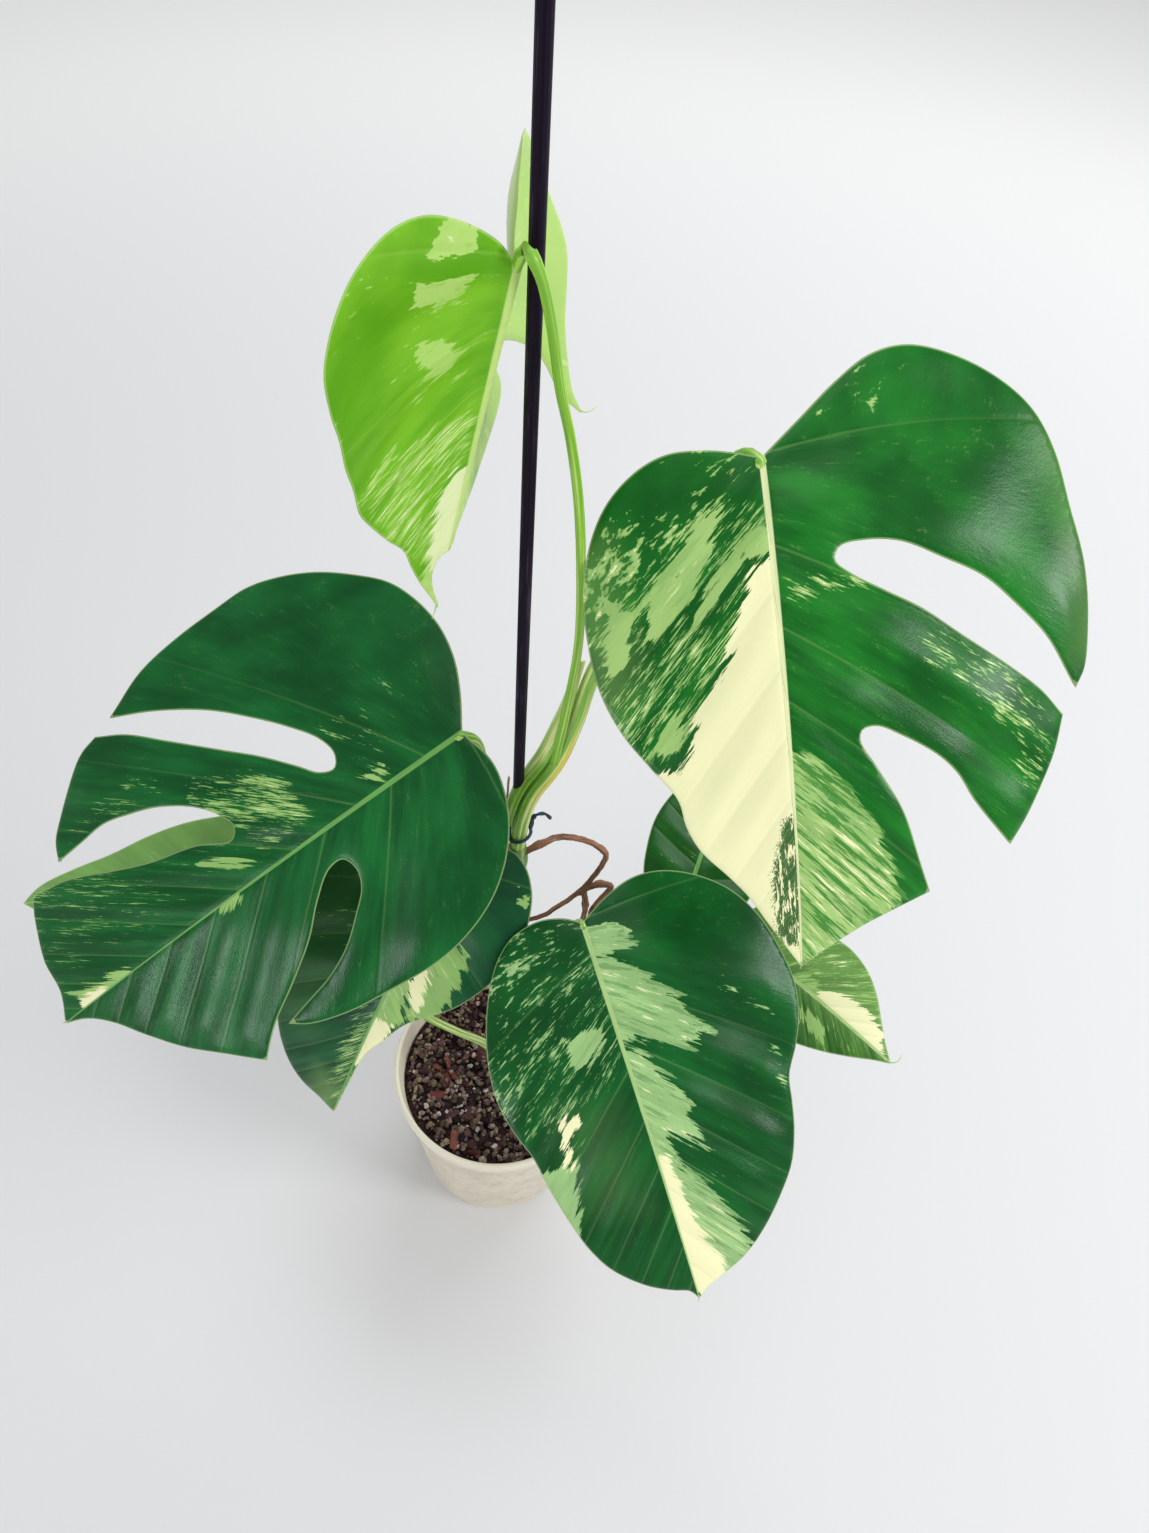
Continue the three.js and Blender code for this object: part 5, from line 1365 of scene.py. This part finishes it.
def floor_pattern(radius):
    """Flat triangles of a disc with drain holes: the outer ring of points first, then the hole rings."""
    rings = [circle_points(0, 0, radius, SEGMENTS)]
    turn_to = 2 * np.pi * (np.arange(DRAIN["count"]) + 0.5) / DRAIN["count"]
    centres = DRAIN["circle"] * np.stack([np.cos(turn_to), np.sin(turn_to)], axis=1)
    rings += [circle_points(*centre, DRAIN["radius"], DRAIN["sides"]) for centre in centres]
    across = np.arange(-45, 46, FLOOR_GRID)
    inner = np.stack(np.meshgrid(across, across), axis=-1).reshape(-1, 2)
    from_hole = np.linalg.norm(inner[:, None] - centres[None], axis=2).min(axis=1)
    inner = inner[(np.linalg.norm(inner, axis=1) < radius - 2) & (from_hole > DRAIN["radius"] + 1.5)]
    flat = np.vstack(rings + [inner])
    starts = np.cumsum([0] + [len(ring) for ring in rings])
    loops = [np.arange(a, b) for a, b in zip(starts[:-1], starts[1:])]
    edges = [(int(i), int(j)) for ring in loops for i, j in zip(ring, np.roll(ring, -1))]
    made = delaunay_2d_cdt([Vector(p) for p in flat.tolist()], edges, [], 0, 1e-5)
    triangles = np.array(made[2])
    middle = flat[triangles].mean(axis=1)
    open_hole = np.linalg.norm(middle[:, None] - centres[None], axis=2).min(axis=1) < DRAIN["radius"] * 0.98
    return flat, turned(flat, triangles[~open_hole], 1), loops


def pot_part():
    """The pot: two floor plates, the walls of the drain holes, and the turned profile from one plate to the
    other, which climbs the outer side, goes over the lip and falls inside."""
    base, shoulder, rim, wall, top = (POT[key] for key in ("base", "shoulder", "rim", "wall", "height"))
    knee, disc = top - POT_LIP, base - wall
    climb, fall = np.linspace(0.02, 0.98, 24)[:, None], np.linspace(0.03, 0.97, 20)[:, None]
    outline = [(base - 1.5, 0), (base - 0.4, 0.4), (base, 1.5)]
    outline += ((1 - climb) * [base, 1.5] + climb * [shoulder, knee]).tolist()
    outline += [
        (shoulder, knee), (shoulder + 1.0, knee + 0.5), (rim - 1.2, knee + 1.6), (rim - 0.5, knee + 6),
        (rim, top - 2), (rim - 0.25, top - 0.7), (rim - 0.9, top), (rim - 2.0, top),
        (rim - 2.7, top - 0.6), (rim - 3.1, top - 1.8), (rim - 3.9, knee + 2), (shoulder - wall, knee - 1)]
    outline += ((1 - fall) * [shoulder - wall, knee - 1] + fall * [disc, POT["floor"]]).tolist()
    outline += [(disc, POT["floor"])]
    rings = lathe_rings(outline, SEGMENTS)
    flat, triangles, loops = floor_pattern(disc)
    rows, plate = len(outline), len(flat)
    points = np.vstack([rings.reshape(-1, 3), np.column_stack([flat, np.zeros(plate)]),
                        np.column_stack([flat, np.full(plate, POT["floor"])])])
    under = np.arange(plate) + rows * SEGMENTS
    over = under + plate
    under[:SEGMENTS] = np.arange(SEGMENTS)
    over[:SEGMENTS] = (rows - 1) * SEGMENTS + np.arange(SEGMENTS)
    faces = [ring_faces(rows, SEGMENTS), under[triangles[:, ::-1]], over[triangles]]
    for ring in loops[1:]:
        ahead = np.roll(ring, -1)
        faces.append(np.stack([under[ring], over[ring], over[ahead], under[ahead]], axis=1))
    used = np.unique(np.concatenate([block.ravel() for block in faces]))
    renumber = np.full(len(points), -1)
    renumber[used] = np.arange(len(used))
    return points[used], [renumber[block] for block in faces]


points, faces = pot_part()
pot = make_piece("pot_shell", points, faces, ["pot"])
p = Paint("pot_plastic", roughness=0.38, specular=0.5, subsurface=0.25, scatter=(0.9, 0.85, 0.75))
here = p.place()
z = p.parts(here)[2]
cloud, grit = p.noise(here, 0.045, 3.0), p.noise(here, 0.22, 3.0, 0.7)
packed = p.step(z, 107.0, 100.0) * p.step(z, 1.0, 8.0)
tone = p.mix(cloud, colour(222, 212, 188), colour(240, 234, 216))
# below the mix line the wall is painted browner: partly the dark mix seen through the thin wall, partly
# painted shade on the lower wall
seen_mix_and_shade = packed * (0.20 * p.step(cloud, 0.4, 0.68) + 0.26 * p.step(grit, 0.48, 0.70) + 0.14)
tone = p.mix(seen_mix_and_shade, tone, colour(150, 128, 104))
pot.data.materials.append(p.finish(tone, 0.34 + 0.12 * cloud, grit * 0.5 + cloud, 0.15))

# %% [markdown]
# ## Bark mix
# The pot is full of a coarse mix: dark bark, reddish chips, pale grains and bits of moss. A height field
# alone would look like mud. So a lumpy bed carries four kinds of loose pieces. One small rough shape is
# copied with random sizes and turns, all from one seeded generator, as a single array of points.

# %% Bed
SOIL_TOP, SOIL_FLOOR = 106.0, POT["floor"] + GAP
chance = np.random.default_rng(20)


def inner_radius(z):
    """Radius of the mix at height z, just inside the pot's wall."""
    share = (z - POT["floor"]) / (POT["height"] - 14 - POT["floor"])
    return POT["base"] + (POT["shoulder"] - POT["base"]) * share - POT["wall"] - GAP


LUMP_COUNT = 70
LUMPS = np.column_stack([chance.uniform(-52, 52, (LUMP_COUNT, 2)), chance.uniform(3, 7, LUMP_COUNT),
                         chance.uniform(-1.2, 3.2, LUMP_COUNT)])


def bed_height(x, y):
    """Height of the bed: a slow wave plus round lumps, level near the wall."""
    away = (x[..., None] - LUMPS[:, 0]) ** 2 + (y[..., None] - LUMPS[:, 1]) ** 2
    lumps = (LUMPS[:, 3] * np.exp(-away / LUMPS[:, 2] ** 2)).sum(axis=-1)
    calm = np.clip((inner_radius(SOIL_TOP - 2) - np.hypot(x, y)) / 6, 0, 1)
    return SOIL_TOP - 1.2 + calm * (0.8 * np.sin(x / 9 + 1) * np.cos(y / 11) + lumps)


bed_edge = inner_radius(SOIL_TOP - 2)
bed_r = np.linspace(0.6, bed_edge, 44)[::-1, None]
bed_angle = np.linspace(0, 2 * np.pi, SEGMENTS, endpoint=False)
bed_x, bed_y = bed_r * np.cos(bed_angle), bed_r * np.sin(bed_angle)
bed_top = np.stack([bed_x, bed_y, bed_height(bed_x, bed_y)], axis=-1)
side_z = np.linspace(SOIL_FLOOR, SOIL_TOP - 3, 10)
bed_side = lathe_rings(np.column_stack([inner_radius(side_z), side_z]), SEGMENTS)
bed_base = lathe_rings([(0.6, SOIL_FLOOR), (24, SOIL_FLOOR)], SEGMENTS)
bed_rings = np.concatenate([bed_base, bed_side, bed_top])
bed_tips = [[0, 0, SOIL_FLOOR], [0, 0, float(bed_top[-1, :, 2].mean())]]
points, faces = np.vstack([bed_rings.reshape(-1, 3), bed_tips]), closed_faces(len(bed_rings), SEGMENTS)
bed = make_piece("bark_bed", points, faces, ["soil"])
p = Paint("bark_bed", roughness=0.9, specular=0.2)
coarse, grit = p.noise(p.place(), 0.35, 3.0), p.noise(p.place(), 1.3, 3.0, 0.7)
tone = p.mix(p.step(coarse, 0.38, 0.66), colour(26, 12, 20), colour(62, 36, 40))
tone = p.mix(p.step(grit, 0.56, 0.66) * 0.7, tone, colour(140, 116, 96))
bed.data.materials.append(p.finish(tone, 0.9, grit + coarse, 1.2))

# %% Loose pieces
GOLDEN = (1 + 5**0.5) / 2
FLAT_CORNERS = [(-1, GOLDEN), (1, GOLDEN), (-1, -GOLDEN), (1, -GOLDEN)]
ICOSAHEDRON = unit(np.array([(a, b, 0) for a, b in FLAT_CORNERS] + [(0, a, b) for a, b in FLAT_CORNERS]
                            + [(b, 0, a) for a, b in FLAT_CORNERS], float))
ICO_FACES = np.array([(0, 11, 5), (0, 5, 1), (0, 1, 7), (0, 7, 10), (0, 10, 11), (1, 5, 9), (5, 11, 4),
                      (11, 10, 2), (10, 7, 6), (7, 1, 8), (3, 9, 4), (3, 4, 2), (3, 2, 6), (3, 6, 8),
                      (3, 8, 9), (4, 9, 5), (2, 4, 11), (6, 2, 10), (8, 6, 7), (9, 8, 1)])


def finer(points, faces):
    """Each triangle as four, with the new points pushed out to the unit sphere."""
    edges = np.sort(np.concatenate([faces[:, [0, 1]], faces[:, [1, 2]], faces[:, [2, 0]]]), axis=1)
    unique, place = np.unique(edges, axis=0, return_inverse=True)
    place = place.reshape(3, -1) + len(points)
    middle = unit(points[unique].mean(axis=1))
    a, b, c = faces.T
    ab, bc, ca = place
    parts = (a, ab, ca), (b, bc, ab), (c, ca, bc), (ab, bc, ca)
    return np.vstack([points, middle]), np.concatenate([np.stack(part, axis=1) for part in parts])


PEBBLE, PEBBLE_FACES = finer(ICOSAHEDRON, ICO_FACES)


def random_turns(count):
    """count random rotations, from random unit quaternions written out as matrices."""
    w, x, y, z = unit(chance.normal(size=(count, 4))).T
    return np.stack([
        np.stack([1 - 2 * (y * y + z * z), 2 * (x * y - w * z), 2 * (x * z + w * y)], axis=1),
        np.stack([2 * (x * y + w * z), 1 - 2 * (x * x + z * z), 2 * (y * z - w * x)], axis=1),
        np.stack([2 * (x * z - w * y), 2 * (y * z + w * x), 1 - 2 * (x * x + y * y)], axis=1)], axis=1)


def scatter(name, count, size, shape, lift, rough, keep_flat=0.0):
    """count rough pebbles on the bed. size is the range of half-lengths in millimetres, shape the three
    shares of it, lift how far the centre stands above the bed in half-heights, and keep_flat the share of
    pieces that lie level. A piece that would touch the wall is moved inwards."""
    radius = (bed_edge - 2.2) * np.sqrt(chance.uniform(0, 1, count))
    turn_to = chance.uniform(0, 2 * np.pi, count)
    x, y = radius * np.cos(turn_to), radius * np.sin(turn_to)
    half = chance.uniform(*size, count)
    bumps = 1 + rough * chance.uniform(-1, 1, (count, len(PEBBLE), 1))
    lumps = PEBBLE[None] * bumps * (half[:, None] * np.array(shape))[:, None, :]
    turns = random_turns(count)
    level = np.zeros_like(turns)
    cosine, sine = np.cos(turn_to * 7), np.sin(turn_to * 7)
    level[:, 0, 0] = level[:, 1, 1] = cosine
    level[:, 0, 1], level[:, 1, 0] = -sine, sine
    level[:, 2, 2] = 1
    turns = np.where(chance.uniform(0, 1, (count, 1, 1)) < keep_flat, level, turns)
    lumps = np.einsum("nij,npj->npi", turns, lumps)
    spread = np.abs(lumps[..., 2]).max(axis=1)
    inside = bed_edge - 0.4 - np.sqrt((lumps[..., :2] ** 2).sum(axis=-1)).max(axis=1)
    shrink = np.minimum(1, inside / np.maximum(np.hypot(x, y), 1e-6))
    x, y = x * shrink, y * shrink
    centre = np.stack([x, y, bed_height(x, y) + lift * spread], axis=1)
    points = lumps + centre[:, None]
    faces = PEBBLE_FACES[None] + (np.arange(count) * len(PEBBLE))[:, None, None]
    values = {"shade": np.repeat(chance.uniform(0, 1, count), len(PEBBLE))}
    points, faces = points.reshape(-1, 3), [faces.reshape(-1, 3)]
    return make_piece(name, points, faces, (), values, smooth=False)


def loose_paint(name, tones, rough, relief):
    """A finish that goes through three colours from piece to piece by the number in shade, with grain."""
    dark, middle, bright = (colour(*tone) for tone in tones)
    p = Paint(name, roughness=rough, specular=0.3)
    shade = p.attribute("shade")
    grain, speck = p.noise(p.place(), 0.7, 3.0, 0.7), p.noise(p.place(), 2.6)
    tone = p.mix(p.step(shade + (grain - 0.5) * 0.5, 0.15, 0.75), dark, middle)
    tone = p.mix(p.step(shade + (speck - 0.5) * 0.9, 0.72, 1.0), tone, bright)
    return p.finish(tone, rough - 0.1 + 0.2 * grain, grain + speck * 0.5, relief)


LOOSE = [
    ("bark_chunks", (340, (1.6, 4.6), (1.0, 0.62, 0.42), 0.2, 0.2, 0.4),
     ("bark_dark", ((30, 16, 22), (66, 40, 42), (118, 84, 78)), 0.85, 0.6)),
    ("red_bark_chips", (60, (2.0, 5.5), (1.0, 0.55, 0.24), 0.7, 0.2, 0.6),
     ("bark_red", ((72, 30, 30), (108, 52, 46), (146, 88, 74)), 0.8, 0.5)),
    ("perlite_grains", (760, (0.6, 1.9), (1.0, 0.8, 0.65), 1.0, 0.35),
     ("perlite", ((96, 74, 76), (148, 124, 118), (206, 194, 184)), 0.85, 0.4)),
    ("moss_crumbs", (560, (0.7, 2.1), (1.0, 0.8, 0.55), 1.0, 0.4),
     ("moss", ((86, 74, 58), (134, 118, 94), (176, 160, 132)), 0.95, 0.9)),
]
for name, pieces, finish in LOOSE:
    scatter(name, *pieces).data.materials.append(loose_paint(*finish))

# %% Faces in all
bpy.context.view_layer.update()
total = sum(len(obj.data.polygons) for obj in scene.objects if obj.type == "MESH")
print("faces in all", total)
